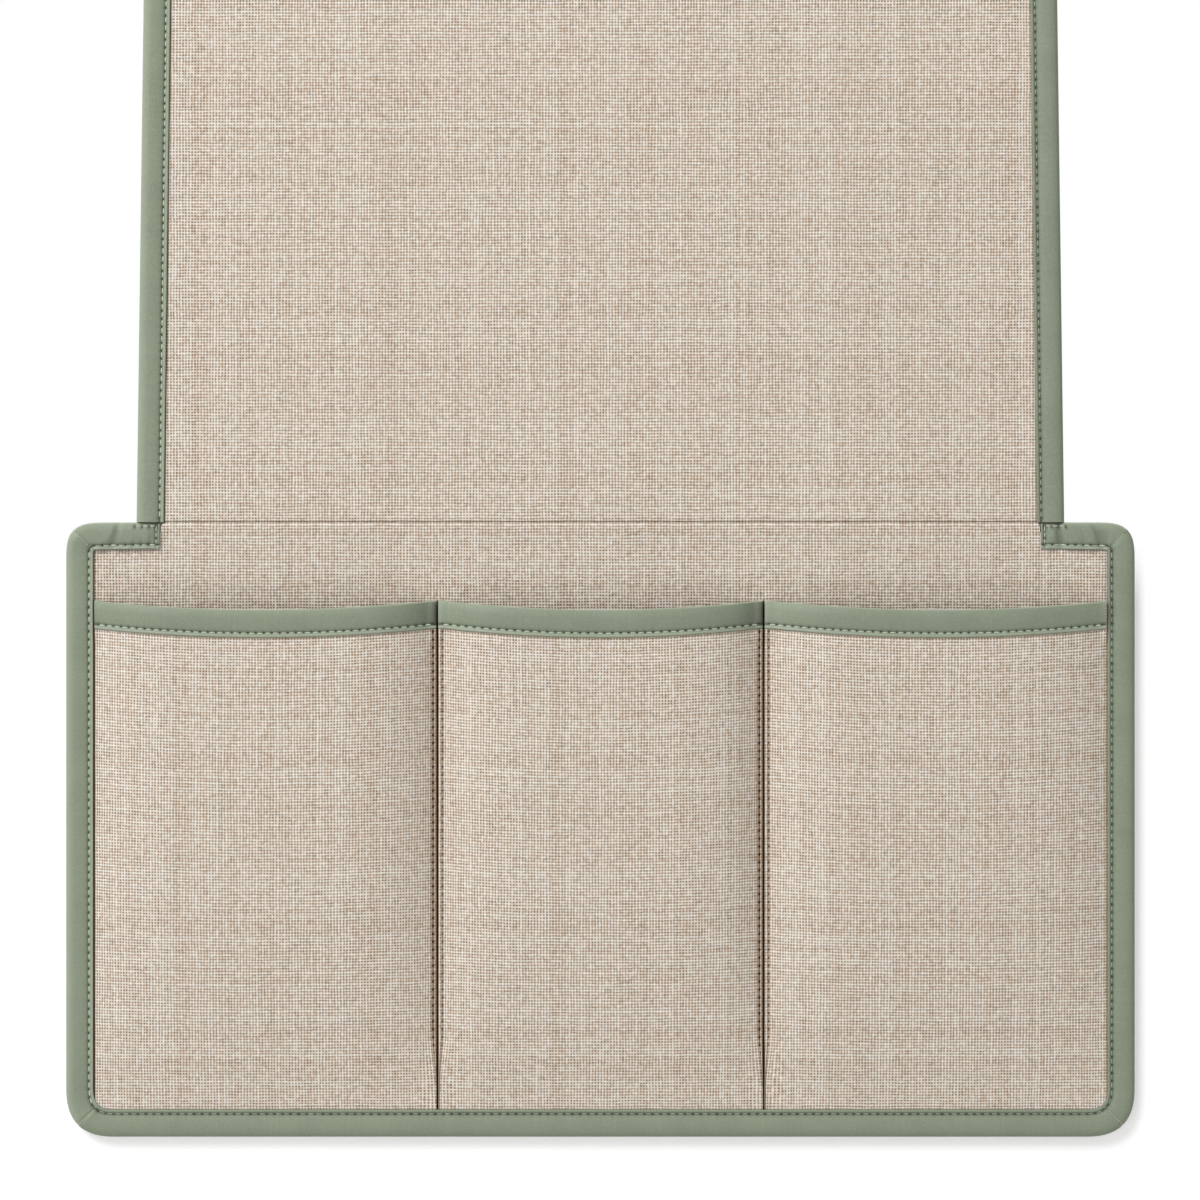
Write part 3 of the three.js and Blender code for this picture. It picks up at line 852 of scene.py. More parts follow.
# %% [markdown]
# ## One stitch
# A stitch is a short length of thread that comes up through one hole and goes down through the
# next. One stitch is shaped from a sphere with few faces: drawn out long, flattened where the
# needle's tension pulls it down, and its two ends pushed under the surface.

# %% One stitch
def pick_vertices(mesh, test):
    """In edit mode, selects the vertices whose place passes the test."""
    bpy.ops.object.mode_set(mode="OBJECT")
    for vertex in mesh.vertices:
        vertex.select = test(vertex.co)
    bpy.ops.object.mode_set(mode="EDIT")


def one_stitch():
    """A stitch along X, one unit long and one unit thick, with its ends turned down."""
    bpy.ops.object.select_all(action="DESELECT")
    bpy.ops.mesh.primitive_uv_sphere_add(segments=8, ring_count=6, radius=0.5)
    stitch = bpy.context.object
    bpy.ops.object.mode_set(mode="EDIT")
    bpy.ops.mesh.select_mode(type="VERT")
    bpy.ops.mesh.select_all(action="SELECT")
    bpy.ops.transform.rotate(value=right_angle, orient_axis="Y", center_override=(0, 0, 0))
    for from_middle, push in ((0.3, 0.12), (0.45, 0.35)):
        pick_vertices(stitch.data, lambda place: abs(place.x) > from_middle)
        bpy.ops.transform.translate(value=(0, 0, -push))
    bpy.ops.mesh.select_all(action="SELECT")
    bpy.ops.mesh.normals_make_consistent(inside=False)
    bpy.ops.object.mode_set(mode="OBJECT")
    mesh = stitch.data
    bpy.data.objects.remove(stitch)
    return mesh


stitch_mesh = one_stitch()
print("one stitch has", len(stitch_mesh.polygons), "faces")

# %% [markdown]
# ## Rows of stitches
# Each row is a set of copies of that stitch, joined into one mesh. Each copy is turned so that
# it runs from hole to hole and bulges away from the piece.

# %% A row of copies
def stitch_row(name, line, normals, length, thick, material):
    """A row of stitches. line holds the ends of each stitch, normals the way out of the piece."""
    row = bmesh.new()
    for (start, end), normal in zip(line, normals):
        run = (end - start) / np.linalg.norm(end - start)
        out = normal - run * float(normal @ run)
        out /= np.linalg.norm(out)
        side = np.cross(out, run)
        copy = stitch_mesh.copy()
        turn = Matrix(np.stack([run * length, side * thick, out * thick], 1).tolist()).to_4x4()
        copy.transform(Matrix.Translation(((start + end) / 2).tolist()) @ turn)
        row.from_mesh(copy)
        bpy.data.meshes.remove(copy)
    mesh = bpy.data.meshes.new(name)
    row.to_mesh(mesh)
    row.free()
    mesh.shade_smooth()
    return piece_of(name, mesh, material)


print("a row of ten stitches has", 10 * len(stitch_mesh.polygons), "faces")

# %% [markdown]
# Along a seam the copies lie in the groove, which is one column of the piece's skin. Where
# there is no groove they go from point to point. On the side away from the light the thread
# lies deeper in the groove and is thinner.

# %% Stitches along a seam or between points
front_side, back_side = -1, 1


def seam_stitches(name, skin, column, facing, material, lift, thick,
                  per_stitch=stations_per_stitch, length=2.5 * mm, rows=None):
    """Stitches in the groove that runs along one column of a skin."""
    first, last = rows or (0, len(skin) - 1)
    holes = np.arange(first + per_stitch // 2, last, per_stitch)
    line, normals = [], []
    for start, end in zip(holes[:-1], holes[1:]):
        middle = (start + end) // 2
        run = skin[end, column] - skin[start, column]
        normal = np.cross(run, skin[middle, column + 1] - skin[middle, column - 1])
        normal /= np.linalg.norm(normal)
        if normal[1] * facing < 0:
            normal = -normal
        line.append((skin[start, column] + normal * lift, skin[end, column] + normal * lift))
        normals.append(normal)
    return stitch_row(name, line, normals, length, thick, material)


def both_seams(name, skin, sunk=False):
    """The stitches of a folded tape on its front and on its back."""
    lift, thick = (0.2 * mm, 0.5 * mm) if sunk else (0.5 * mm, 0.8 * mm)
    front = seam_stitches(name + "_stitches", skin, groove_front, front_side, green_thread,
                          lift, thick)
    back = seam_stitches(name + "_back_stitches", skin, groove_back, back_side, green_thread,
                         0.10 * mm, 0.5 * mm)
    return [front, back]


def loose_stitches(name, points, level, material, thick=0.5 * mm, facing=front_side):
    """Short stitches from point to point, at one level or at a level for each point."""
    levels = np.broadcast_to(level, len(points))
    places = [np.array([x, facing * height, z]) for (x, z), height in zip(points, levels)]
    line = list(zip(places[:-1], places[1:]))
    spacing = float(np.mean([np.linalg.norm(b - a) for a, b in line]))
    normals = [np.array([0.0, facing, 0.0])] * len(line)
    return stitch_row(name, line, normals, spacing * 0.76, thick, material)


def row_points(start, end, count):
    return [tuple(np.array(start) + (np.array(end) - start) * i / count) for i in range(count + 1)]


print("stitch tools ready")

# %% [markdown]
# ## The tape round the panel
# Three lengths of tape bind the panel's sides and foot and meet in mitres at the lower corners.
# The two shoulder tapes start from the upper mitres and end square, lapped over the flap's
# edge, where a small box of stitches holds them.

# %% Panel tapes
sides = {"right": 1, "left": -1}
# Lit and shaded looks: the left tapes get painted highlights on their rolled edges, and the right
# ones the painted shading of the side away from the light.
side_looks = {"right": {"shaded": True}, "left": {"roll_shading": roll_lit}}
shoulder_point = (panel_half, fold_height)
foot_point = (panel_half, panel_foot)
yoke_level = cloth_face + 0.45 * mm
pocket_level = cloth_face + 0.68 * mm
lap_foot = fold_height - 10.9 * mm
box_inset, box_foot, box_side = 1.6 * mm, 9.2 * mm, 10.2 * mm
end_lift, top_lift = 0.65 * mm, 1.25 * mm
panel_pieces = []


def panel_tape_level(height):
    """The side tapes lie higher where they cover the pockets' edges."""
    share = smooth_share(rim_height + 6 * mm - height, 0, 12 * mm)
    return yoke_level + (pocket_level - yoke_level) * share


def panel_side_tape(word, side):
    upper = corner_edges(shoulder_point, (-1, -1), shoulder_forms, mitre_turn, 0)
    lower = corner_edges(foot_point, (-1, 1), foot_forms, 0, mitre_turn)
    edges = opened(np.concatenate([upper, lower], 1), (0, -mitre_gap), (0, mitre_gap))
    tape, skin = folded_tape("panel_binding_" + word, edges * (side, 1), panel_tape_level,
                             10 + side, mitres=(1, 1), pucker=0.09 * mm, **side_looks[word])
    return [tape, *both_seams("panel_side_" + word, skin, sunk=side > 0)]


def shoulder_tape(word, side):
    edges = corner_edges(shoulder_point, (-1, -1), shoulder_forms, mitre_turn, right_angle)
    end = np.array([[[lap_end, fold_height]], [[lap_end, lap_foot]]])
    edges = opened(np.concatenate([edges, end], 1), (-mitre_gap, 0), (0, 0))
    corner = (lap_end + box_inset, fold_height - box_inset)
    box = {
        "end": (row_points(corner, (lap_end + box_inset, fold_height - box_foot), 3), end_lift),
        "top": (row_points(corner, (lap_end + box_side, fold_height - box_inset), 3), top_lift),
    }
    wells = [(x * side, z) for points, _ in box.values() for x, z in points]
    tape, skin = folded_tape("shoulder_binding_" + word, edges * (side, 1), yoke_level,
                             20 + side, mitres=(1, 0), pucker=1.1 * mm, wells=wells,
                             roll_shading=top_roll_highlight, square_end=True)
    pieces = [tape, *both_seams("shoulder_" + word, skin)]
    for name, (points, lift) in box.items():
        points = [(x * side, z) for x, z in points]
        pieces.append(loose_stitches(f"shoulder_{name}_stitches_{word}", points,
                                     yoke_level + lift, green_thread))
    return pieces


for word, side in sides.items():
    panel_pieces += panel_side_tape(word, side) + shoulder_tape(word, side)

tape, skin = folded_tape("panel_binding_bottom", across_end(foot_point, 1), pocket_level, 30,
                         mitres=(1, 1), pucker=0.08 * mm, shaded=True)
panel_pieces += [tape, *both_seams("panel_bottom", skin, sunk=True)]
print(len(panel_pieces), "pieces round the panel")

# %% [markdown]
# Short stitches close each mitre. They follow the diagonal from the outer corner to the lips,
# and rise and sink with the tape's profile, so that they lie on it all the way.

# %% Mitre stitches
mitre_count = 8
mitre_start, mitre_stop = 0.2, 0.92


def mitre_row(name, point, inward, forms, level):
    outer, inner = corner_edges(point, inward, forms, mitre_turn, mitre_turn)[:, 0]
    start, stop = (outer + (inner - outer) * share for share in (mitre_start, mitre_stop))
    from_lip = binding_width * (1 - np.linspace(mitre_start, mitre_stop, mitre_count + 1))
    levels = level + np.interp(from_lip, *(np.array(front_profile[1:]) * mm).T) + 0.05 * mm
    return loose_stitches(name, row_points(start, stop, mitre_count), levels, green_thread,
                          thick=0.4 * mm)


for word, side in sides.items():
    for corner, point, up, forms, level in (
            ("shoulder", shoulder_point, -1, shoulder_forms, yoke_level),
            ("foot", foot_point, 1, foot_forms, pocket_level)):
        panel_pieces.append(mitre_row(f"mitre_stitches_{corner}_{word}",
                                      (point[0] * side, point[1]), (-side, up), forms, level))
print(len(panel_pieces), "pieces with the mitres")

# %% [markdown]
# ## The tape round the flap
# The flap's side tapes start at the fold, close above the shoulder tapes, and narrow slightly
# towards the far end, where they meet the end tape in mitres.

# %% Flap tapes
flap_foot = fold_height + 0.03 * mm
flap_point = (flap_half, flap_end)
flap_tape_level = cloth_face + 0.3 * mm
flap_pieces = []
bent_pieces = []


def flap_share(height):
    """How far up the flap a height lies, from none at the fold to all at the far end."""
    return np.clip((height - flap_base) / flap_length, 0, 1)


def narrowed(edges):
    """The edge lines, drawn in towards the flap's far end."""
    edges[..., 0] *= 1 - flap_share(edges[..., 1]) * flap_taper / flap_half
    return edges


for word, side in sides.items():
    start = np.array([[[flap_half, flap_foot]], [[flap_half - binding_width, flap_foot]]])
    edges = corner_edges(flap_point, (-1, -1), foot_forms, 0, mitre_turn)
    edges = narrowed(opened(np.concatenate([start, edges], 1), (0, 0), (0, -mitre_gap)))
    tape, skin = folded_tape("flap_binding_" + word, edges * (side, 1), flap_tape_level,
                             40 + side, mitres=(0, 1), pucker=0.05 * mm, **side_looks[word])
    bent_pieces += [tape, *both_seams("flap_side_" + word, skin, sunk=side > 0)]
    flap_pieces.append(mitre_row(f"mitre_stitches_flap_{word}",
                                 ((flap_half - flap_taper) * side, flap_end), (-side, -1),
                                 foot_forms, flap_tape_level))

tape, skin = folded_tape("flap_binding_end", narrowed(across_end(flap_point, -1)),
                         flap_tape_level, 50, mitres=(1, 1), pucker=0.05 * mm)
flap_pieces += [tape, *both_seams("flap_end", skin)]
print(len(bent_pieces), "pieces that bend,", len(flap_pieces), "on the flap")

# %% [markdown]
# ## The cloths of the panel and the flap
# Each cloth is a flat grid whose rows are cut to the outline, so that its edges run under the
# tape. It lies nearly flat over its board: slow waves are left from the roll of cloth, and
# small puckers stand along the sewn edges. A narrow painted shadow line darkens it beside the
# tapes' lips. On the front painted shade also darkens the cloth behind the gaps between the
# pockets, and just above their mouths, where it darkens the weave's gaps and thins its threads.

# %% Waves and shadow lines of a cloth
cloth_inset = 3.3 * mm
corner_radius = 17 * mm
cloth_grid = 2.3 * mm
wave_height, wave_length = 0.35 * mm, 55 * mm
pucker_height, pucker_length = 0.16 * mm, 9 * mm
pucker_reach, fold_pucker_reach = 9 * mm, 7 * mm
lip_shade = 0.95
line_width = 0.5 * mm
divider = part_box("pocket_middle")[1].x + 0.2 * mm


def cloth_waves(x, z, seed):
    """How far a cloth stands out: slow waves, and puckers that fade away from the sewn edges."""
    on_panel = z < fold_height
    from_side = np.where(on_panel, panel_half, flap_half) - binding_width - np.abs(x)
    from_end = np.where(on_panel, z - panel_foot, flap_end - z) - binding_width
    near = fade(np.abs(from_side), pucker_reach) + fade(np.abs(from_end), pucker_reach)
    near += 0.7 * fade(np.abs(fold_height - z), fold_pucker_reach)
    slow = wander_over(x, z, wave_length, seed) * wave_height
    return slow + wander_over(x, z, pucker_length, seed + 2) * near * pucker_height


def side_shade(x, from_lip):
    """The shadow line beside a side tape's lip, which is stronger on the left."""
    line = bell(np.clip(from_lip, 0, None), line_width)
    return np.where(x < 0, lip_shade, 0.6 * lip_shade) * line


def beside_tape(x, z, facing):
    """The painted shade of a cloth: beside the tapes, behind the gaps and above the mouths."""
    on_panel = z < fold_height
    flap_lip = (flap_half - binding_width) * (1 - flap_share(z) * flap_taper / flap_half)
    lip = np.where(on_panel, panel_half - binding_width, flap_lip)
    from_end = np.where(on_panel, z - panel_foot, flap_end - z) - binding_width
    line = side_shade(x, lip - np.abs(x))
    line = np.maximum(line, 0.4 * bell(np.clip(from_end, 0, None), line_width))
    if facing == back_side:
        return line
    # Painted shade behind the gaps between the pockets, and above their mouths, kept below 0,
    # where it darkens the weave's gaps and thins its threads.
    line = np.maximum(line, bell(np.abs(x) - divider, 0.9 * mm) * (z < rim_height))
    above = z - rim_height + 4 * mm
    mouth = fade(np.clip(above, 0, None), 6 * mm) * on_panel * (above > 0)
    return np.where(line > 0.1, line, -mouth)


print("gaps between the pockets at", in_mm(divider), "on either side")

# %% [markdown]
# A cloth's rows and columns crowd where something happens: at the round corners, beside the
# lips and behind the gaps. Elsewhere a coarse grid is enough.

# %% A cloth from its rows
def rounded_widths(heights, half, end, up):
    """Half of a bound cloth's width at each height, with its two corners at the end cut round."""
    rise = np.clip(up * (heights - end) - cloth_inset, 0, corner_radius)
    cut = corner_radius - np.sqrt(corner_radius**2 - (corner_radius - rise) ** 2)
    return half - cloth_inset - cut


def corner_rows(end, up):
    """Heights for a cloth's rows from its cut end to the top of its rounded corners."""
    rise = corner_radius * (1 - np.cos(np.linspace(0, right_angle, 10)))
    return end + up * (cloth_inset + rise)


def column_shares(half):
    """Where a cloth's columns lie, as shares of half its width."""
    even = np.linspace(-1, 1, 2 * round(half / cloth_grid) + 1)
    lip = half + cloth_inset - binding_width
    beside_lip = (lip + np.array([0.4, 0, -0.25, -0.5, -0.9]) * mm) / half
    beside_divider = (divider + np.array([-1.6, -0.8, 0, 0.8, 1.6]) * mm) / half
    lines = np.concatenate([beside_lip, beside_divider])
    return np.unique(np.concatenate([even, lines, -lines]))


def flat_cloth(node, outer_path, inner_path, half_width, wave_share, facing, held):
    """A cloth from rows. Each path gives the height and the level of every row of a skin."""
    share = column_shares(half_width.max())
    x = half_width[:, None] * share
    z = np.repeat(outer_path[:, :1], len(share), 1)
    lift = facing * cloth_waves(x, z, 60 + len(node)) * wave_share[:, None]
    skins = [np.stack([x, -path[:, 1:] + lift, np.repeat(path[:, :1], len(share), 1)], -1)
             for path in (outer_path, inner_path)]
    rows = np.linalg.norm(np.diff(outer_path, axis=0), axis=1)
    down = np.concatenate([[0], np.cumsum(rows)]) + outer_path[0, 0]
    flat = np.stack([x, np.repeat(down[:, None], len(share), 1)], -1)
    piece = sheet_between(node + "_woven", *skins, flat, beside_tape(x, z, facing),
                          linen_material, sharp=75)
    size = (float(2 * half_width.max()), float(rows.sum()))
    area = float((rows * (half_width[:-1] + half_width[1:])).sum())
    stands_for(piece, node, "linen_cloth", size, held=held, area=min(area, size[0] * size[1]))
    return piece


print("cloth tools ready")

# %% [markdown]
# ## The hem at the fold
# The top edge of the panel's cloths is turned over in a soft hem. Its rows run over the hem's
# roll and down behind it, each as a distance below the fold and a level above the cloth, in
# millimetres. Between the shoulder tapes the cloth is narrower, because they lap over it.

# %% The panel's two cloths
hem_outside = [(-7.0, 0.0), (-5.4, 0.12), (-3.9, 0.28), (-2.5, 0.42), (-1.3, 0.48), (-0.5, 0.30),
               (-0.1, -0.05), (0.0, -0.40), (-0.1, -0.75), (-0.4, -0.98), (-1.0, -1.05),
               (-2.0, -1.05)]
hem_inside = [(-7.0, -0.8), (-5.4, -0.68), (-3.9, -0.5), (-2.5, -0.32), (-1.3, -0.16),
              (-0.65, -0.16), (-0.5, -0.25), (-0.45, -0.40), (-0.5, -0.52), (-0.65, -0.60),
              (-1.0, -0.65), (-2.0, -0.65)]
yoke_half = lap_end - 0.5 * mm
corner_part = corner_rows(panel_foot, 1)
plain_part = np.arange(corner_part[-1] + cloth_grid, fold_height - 8.0 * mm, cloth_grid)
panel_rows = np.concatenate([corner_part, plain_part])


def hemmed_path(face, outwards, hem, thickness):
    """The rows of one skin of a panel cloth: plain up to the hem, then over its roll."""
    hem = np.array(hem) * mm
    plain = np.stack([panel_rows, np.full(len(panel_rows), face - outwards * thickness)], -1)
    rolled = np.stack([fold_height + hem[:, 0], face + outwards * hem[:, 1]], -1)
    return np.concatenate([plain, rolled])


def panel_cloth(node, face, outwards, facing):
    outer = hemmed_path(face, outwards, hem_outside, 0)
    inner = hemmed_path(face, outwards, hem_inside, cloth_thickness)
    heights = outer[:, 0]
    widths = rounded_widths(heights, panel_half, panel_foot, 1)
    cut_in = smooth_share(heights, fold_height - 10.5 * mm, fold_height - 4 * mm)
    hem_end = 0.8 * mm * smooth_share(heights, fold_height - 1.2 * mm, fold_height)
    widths = widths * (1 - cut_in) + (yoke_half - hem_end) * cut_in
    calm = 1 - smooth_share(heights, fold_height - 7 * mm, fold_height - 3 * mm)
    return flat_cloth(node, outer, inner, widths, calm, facing, "stretched")


panel_pieces.append(panel_cloth("panel_front_cloth", cloth_face, 1, front_side))
panel_pieces.append(panel_cloth("panel_back_cloth", 0.0, -1, back_side))
print(len(panel_pieces), "pieces with the cloths")

# %% [markdown]
# The flap's cloths run down behind that hem. They are what bends when the caddy folds, so
# their rows are close together from the fold to where the bend ends.

# %% The flap's two cloths
fold_reach = 8 * mm
dip = [(-1.5, 1.2), (-0.3, 1.2), (0.0, 1.0), (0.25, 0.55), (0.6, 0.18), (1.1, 0.0)]
dip_inside = 1.65 * mm
bend_rows = np.linspace(1.9 * mm, fold_reach + 3 * mm, 15) + fold_height
corner_part = corner_rows(flap_end, -1)[::-1]
plain_part = np.arange(bend_rows[-1] + cloth_grid, corner_part[0] - cloth_grid / 2, cloth_grid)
flap_rows = np.concatenate([bend_rows, plain_part, corner_part])


def flap_cloth(node, face, outwards, facing):
    """A flap cloth. Its lower edge dips inwards and runs down behind the panel's hem."""
    drop = np.array(dip) * mm
    heights = np.concatenate([fold_height + drop[:, 0], flap_rows])
    depth = np.concatenate([drop[:, 1], np.zeros(len(flap_rows))])
    inner_depth = np.minimum(depth + cloth_thickness, dip_inside)
    outer, inner = (np.stack([heights, face - outwards * d], -1) for d in (depth, inner_depth))
    half = flap_half - flap_taper * flap_share(heights)
    calm = smooth_share(heights, fold_height + 0.5 * mm, fold_height + 6 * mm)
    return flat_cloth(node, outer, inner, rounded_widths(heights, half, flap_end, -1), calm,
                      facing, "laid")


bent_pieces.append(flap_cloth("flap_front_cloth", cloth_face, 1, front_side))
bent_pieces.append(flap_cloth("flap_back_cloth", 0.0, -1, back_side))
print(len(bent_pieces), "pieces bend at the fold")

# %% [markdown]
# ## The boards inside
# A thin board keeps the flap flat under the mattress, and another keeps the panel flat. They
# are cut from sheet, with round corners. Each starts as a cube, which is sized in edit mode
# and whose four upright corners are then bevelled. The flap's board ends short of the fold,
# so that the cloth alone bends there.

# %% Boards
board_corner = 14 * mm
board_inset = 5.5 * mm
board_cover = 0.9 * mm


def board(node, foot_half, top_half, foot, top):
    back, front = board_cover, cloth_face - board_cover
    bpy.ops.object.select_all(action="DESELECT")
    middle = (0, -(front + back) / 2, (foot + top) / 2)
    bpy.ops.mesh.primitive_cube_add(size=1, location=middle)
    piece = bpy.context.object
    piece.name = node + "_board"
    bpy.ops.object.mode_set(mode="EDIT")
    bpy.ops.mesh.select_all(action="SELECT")
    bpy.ops.transform.resize(value=(2 * foot_half, front - back, top - foot))
    bpy.ops.mesh.select_mode(type="VERT")
    pick_vertices(piece.data, lambda place: place.z > 0)
    bpy.ops.transform.resize(value=(top_half / foot_half, 1, 1))
    bpy.ops.mesh.select_all(action="DESELECT")
    bpy.ops.mesh.select_mode(type="EDGE")
    bpy.ops.object.mode_set(mode="OBJECT")
    points = piece.data.vertices
    for edge in piece.data.edges:
        start, end = (points[number].co for number in edge.vertices)
        edge.select = abs(start.y - end.y) > abs(start.x - end.x) + abs(start.z - end.z)
    bpy.ops.object.mode_set(mode="EDIT")
    bpy.ops.mesh.bevel(offset=board_corner, segments=6, affect="EDGES")
    bpy.ops.object.mode_set(mode="OBJECT")
    bpy.ops.object.transform_apply(location=True, rotation=True, scale=True)
    piece.data.materials.append(board_material)
    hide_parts(node)
    print(piece.name, [in_mm(side) for side in piece.dimensions])
    return piece


panel_pieces.append(board("panel_stiffener", panel_half - board_inset, panel_half - board_inset,
                          panel_foot + board_inset, fold_height - 7 * mm))
flap_pieces.append(board("flap_stiffener", flap_half - board_inset,
                         flap_half - flap_taper - board_inset, fold_height + 10.5 * mm,
                         flap_end - board_inset))

# %% [markdown]
# ## Three crowned pockets
# A pocket is a cloth that is wider than its place, so it stands out in a crown: most at the
# rim, where nothing holds it, and flat at the foot. Its sides are turned under in a hem, which
# is sewn to the panel, or they run under the side tape. The hem's levels rise from the folded
# edge, dip in the groove of the seam and rise again. In the photograph the left hem of a
# pocket is wider than the right one, and they are scaled so.

# %% Measures of the pockets
rim_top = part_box("rim_tape_right")[1].z - 1.5 * mm
rim_sag = 3.6 * mm
rim_width = 11.5 * mm
rim_lift = 1.4 * mm
crown_height = 10.4 * mm
side_fullness = (4.5, 5.0)
open_fullness = 3.1
foot_fullness = 3.5
side_crown = panel_half - binding_width - 0.5 * mm
foot_crown = panel_foot + binding_width + 0.3 * mm
hem_width = 2.4 * mm
hem_scales = (1.12, 0.86)
hem_steps = np.array([0, 0.1, 0.25, 0.5, 0.9, 1.3, 1.65, 2.0, 2.4]) * mm
hem_levels = np.array([3.35, 3.85, 4.25, 4.55, 4.58, 4.2, 3.65, 3.8, 4.0]) * mm
hem_gap = 0.3 * mm
seam_inset = 1.65 * mm
no_hem = 1.0
print("crown", in_mm(crown_height), "high over", in_mm(rim_top - foot_crown))

# %% [markdown]
# The crown is a curve that is flat in its middle and steep at its sides, and the larger its
# fullness, the flatter and steeper it is. It could be sculpted by hand, but then the rim tape
# would have to be fitted to it. As a formula it gives both cloth and tape the same form.

# %% The form of a pocket
class Pocket:
    """The measures of one pocket: its two crown edges, and how far it stands out."""

    def __init__(self, low, high, hems):
        self.low, self.high, self.hems = low, high, hems
        crown_low = low + hem_width * hem_scales[0] * hems[0]
        crown_high = high - hem_width * hem_scales[1] * hems[1]
        self.middle = (crown_low + crown_high) / 2
        self.half = (crown_high - crown_low) / 2

    def share(self, x):
        return np.clip((x - self.middle) / self.half, -1, 1)

    def rim(self, x):
        return rim_top - rim_sag * (1 - self.share(x) ** 2)

    def stand(self, x, z):
        """How far the cloth stands out at a place of the front."""
        depth = np.clip((rim_top - z) / (rim_top - foot_crown), 0, 1)
        share = self.share(x)
        fullness = (side_fullness[0], side_fullness[1] if self.hems[1] else open_fullness)
        across = 1 - np.abs(share) ** np.where(share < 0, *fullness)
        out = crown_height * across * (1 - depth**foot_fullness)
        below = smooth_share(self.rim(x) - z, rim_width + 1 * mm, rim_width + 9 * mm)
        return (out**4 + (rim_lift * (1 - below)) ** 4) ** 0.25

    def from_hem(self, x):
        """Place across the nearest hem, from its folded edge; large where there is none."""
        far = np.full(np.shape(x), no_hem)
        if self.hems[0]:
            far = np.minimum(far, (x - self.low) / hem_scales[0])
        if self.hems[1]:
            far = np.minimum(far, (self.high - x) / hem_scales[1])
        return far

    def over_crown(self, skin):
        """A straight rim tape's skin, sagging with the rim and standing out with the cloth."""
        x, y, z = (skin[..., axis] for axis in range(3))
        z = z - rim_sag * (1 - self.share(x) ** 2)
        return np.stack([x, y - self.stand(x, z), z], -1)


pockets = {
    "left": Pocket(-side_crown, -(divider + hem_gap), (False, True)),
    "middle": Pocket(-divider + hem_gap, divider - hem_gap, (True, True)),
    "right": Pocket(divider + hem_gap, side_crown, (True, False)),
}
print("pockets", {word: in_mm(p.high - p.low) for word, p in pockets.items()})

# %% [markdown]
# ## The pockets' cloths
# The rows of a pocket's grid follow the sagging rim and level out towards the foot, as the
# weft of the real cloth does. Three things are worked out for every point before the cloth is
# made: where its column lies, how far waves lift it, and how much painted shade it gets.

# %% Columns, waves and painted shade of a pocket
flange_steps = np.array([0, 0.6, 1.3, 5]) * mm
flange_levels = np.array([4.0, 3.84, 3.8, 3.8]) * mm
rest_reach = 6 * mm


def pocket_columns(pocket):
    turns = np.linspace(0, math.pi, 78)
    crown = pocket.middle - pocket.half * (0.55 * np.cos(turns) + 0.45 * (1 - 2 * turns / math.pi))
    left, right = pocket.low - flange_steps[:0:-1], pocket.high + flange_steps[1:]
    if pocket.hems[0]:
        left = pocket.low + hem_steps[:-1] * hem_scales[0]
    if pocket.hems[1]:
        right = pocket.high - hem_steps[-2::-1] * hem_scales[1]
    return np.concatenate([left, crown, right])


def past_hem(from_hem):
    """0 on a hem, and 1 from a little beside it."""
    return smooth_share(from_hem, hem_width, hem_width + rest_reach)


def pocket_waves(word, x, z, from_hem, below_rim):
    """Slow waves, and puckers beside the seams. They come to rest at every edge."""
    near = fade(from_hem, pucker_reach) + fade(np.abs(z - foot_crown), pucker_reach)
    waves = wander_over(x, z, 45 * mm, 80 + len(word)) * 0.35 * mm
    waves += wander_over(x, z, 8 * mm, 90 + len(word)) * near * 0.14 * mm
    calm = past_hem(from_hem) * smooth_share(side_crown - np.abs(x), 0, rest_reach)
    calm = calm * smooth_share(z, foot_crown, foot_crown + rest_reach)
    return waves * calm * smooth_share(below_rim, rim_width, rim_width + 12 * mm)


def pocket_painted_shading(x, z, from_hem, below_rim, right_hem, bare, holes, closing):
    """Painted shade by the lips, in the seam, on the right hem and at the folded edge."""
    groove = bell(from_hem - seam_inset, 0.45 * mm) * bare * (1 - closing)
    fold_width = (np.where(right_hem, 0.15, 0.3) + 0.8 * closing) * mm
    return np.max([
        side_shade(x, side_crown - np.abs(x)),
        0.25 * bell(np.clip(z - foot_crown, 0, None), line_width),
        (0.95 * groove + holes * bare) * np.where(right_hem, 1.0, 0.6),
        0.6 * right_hem * bare * (1 - closing),
        0.75 * bell(below_rim - rim_width, 0.45 * mm),
        bell(from_hem, fold_width),
    ], axis=0)


print("columns of a pocket:", len(pocket_columns(pockets["middle"])))

# %% [markdown]
# The level of a point is its flange, under the tapes, or its hem, with a dimple at each needle
# hole, and the crown and the waves on top. Towards the foot the gap between two pockets closes,
# so the hems are drawn together there.

# %% One pocket cloth
rows_per_stitch = 4
under_rim = 1.3 * mm
flange_reach = 4.6 * mm
pocket_back = cloth_face + 0.06 * mm
pocket_front = 4.0 * mm
least_thickness = 0.12 * mm


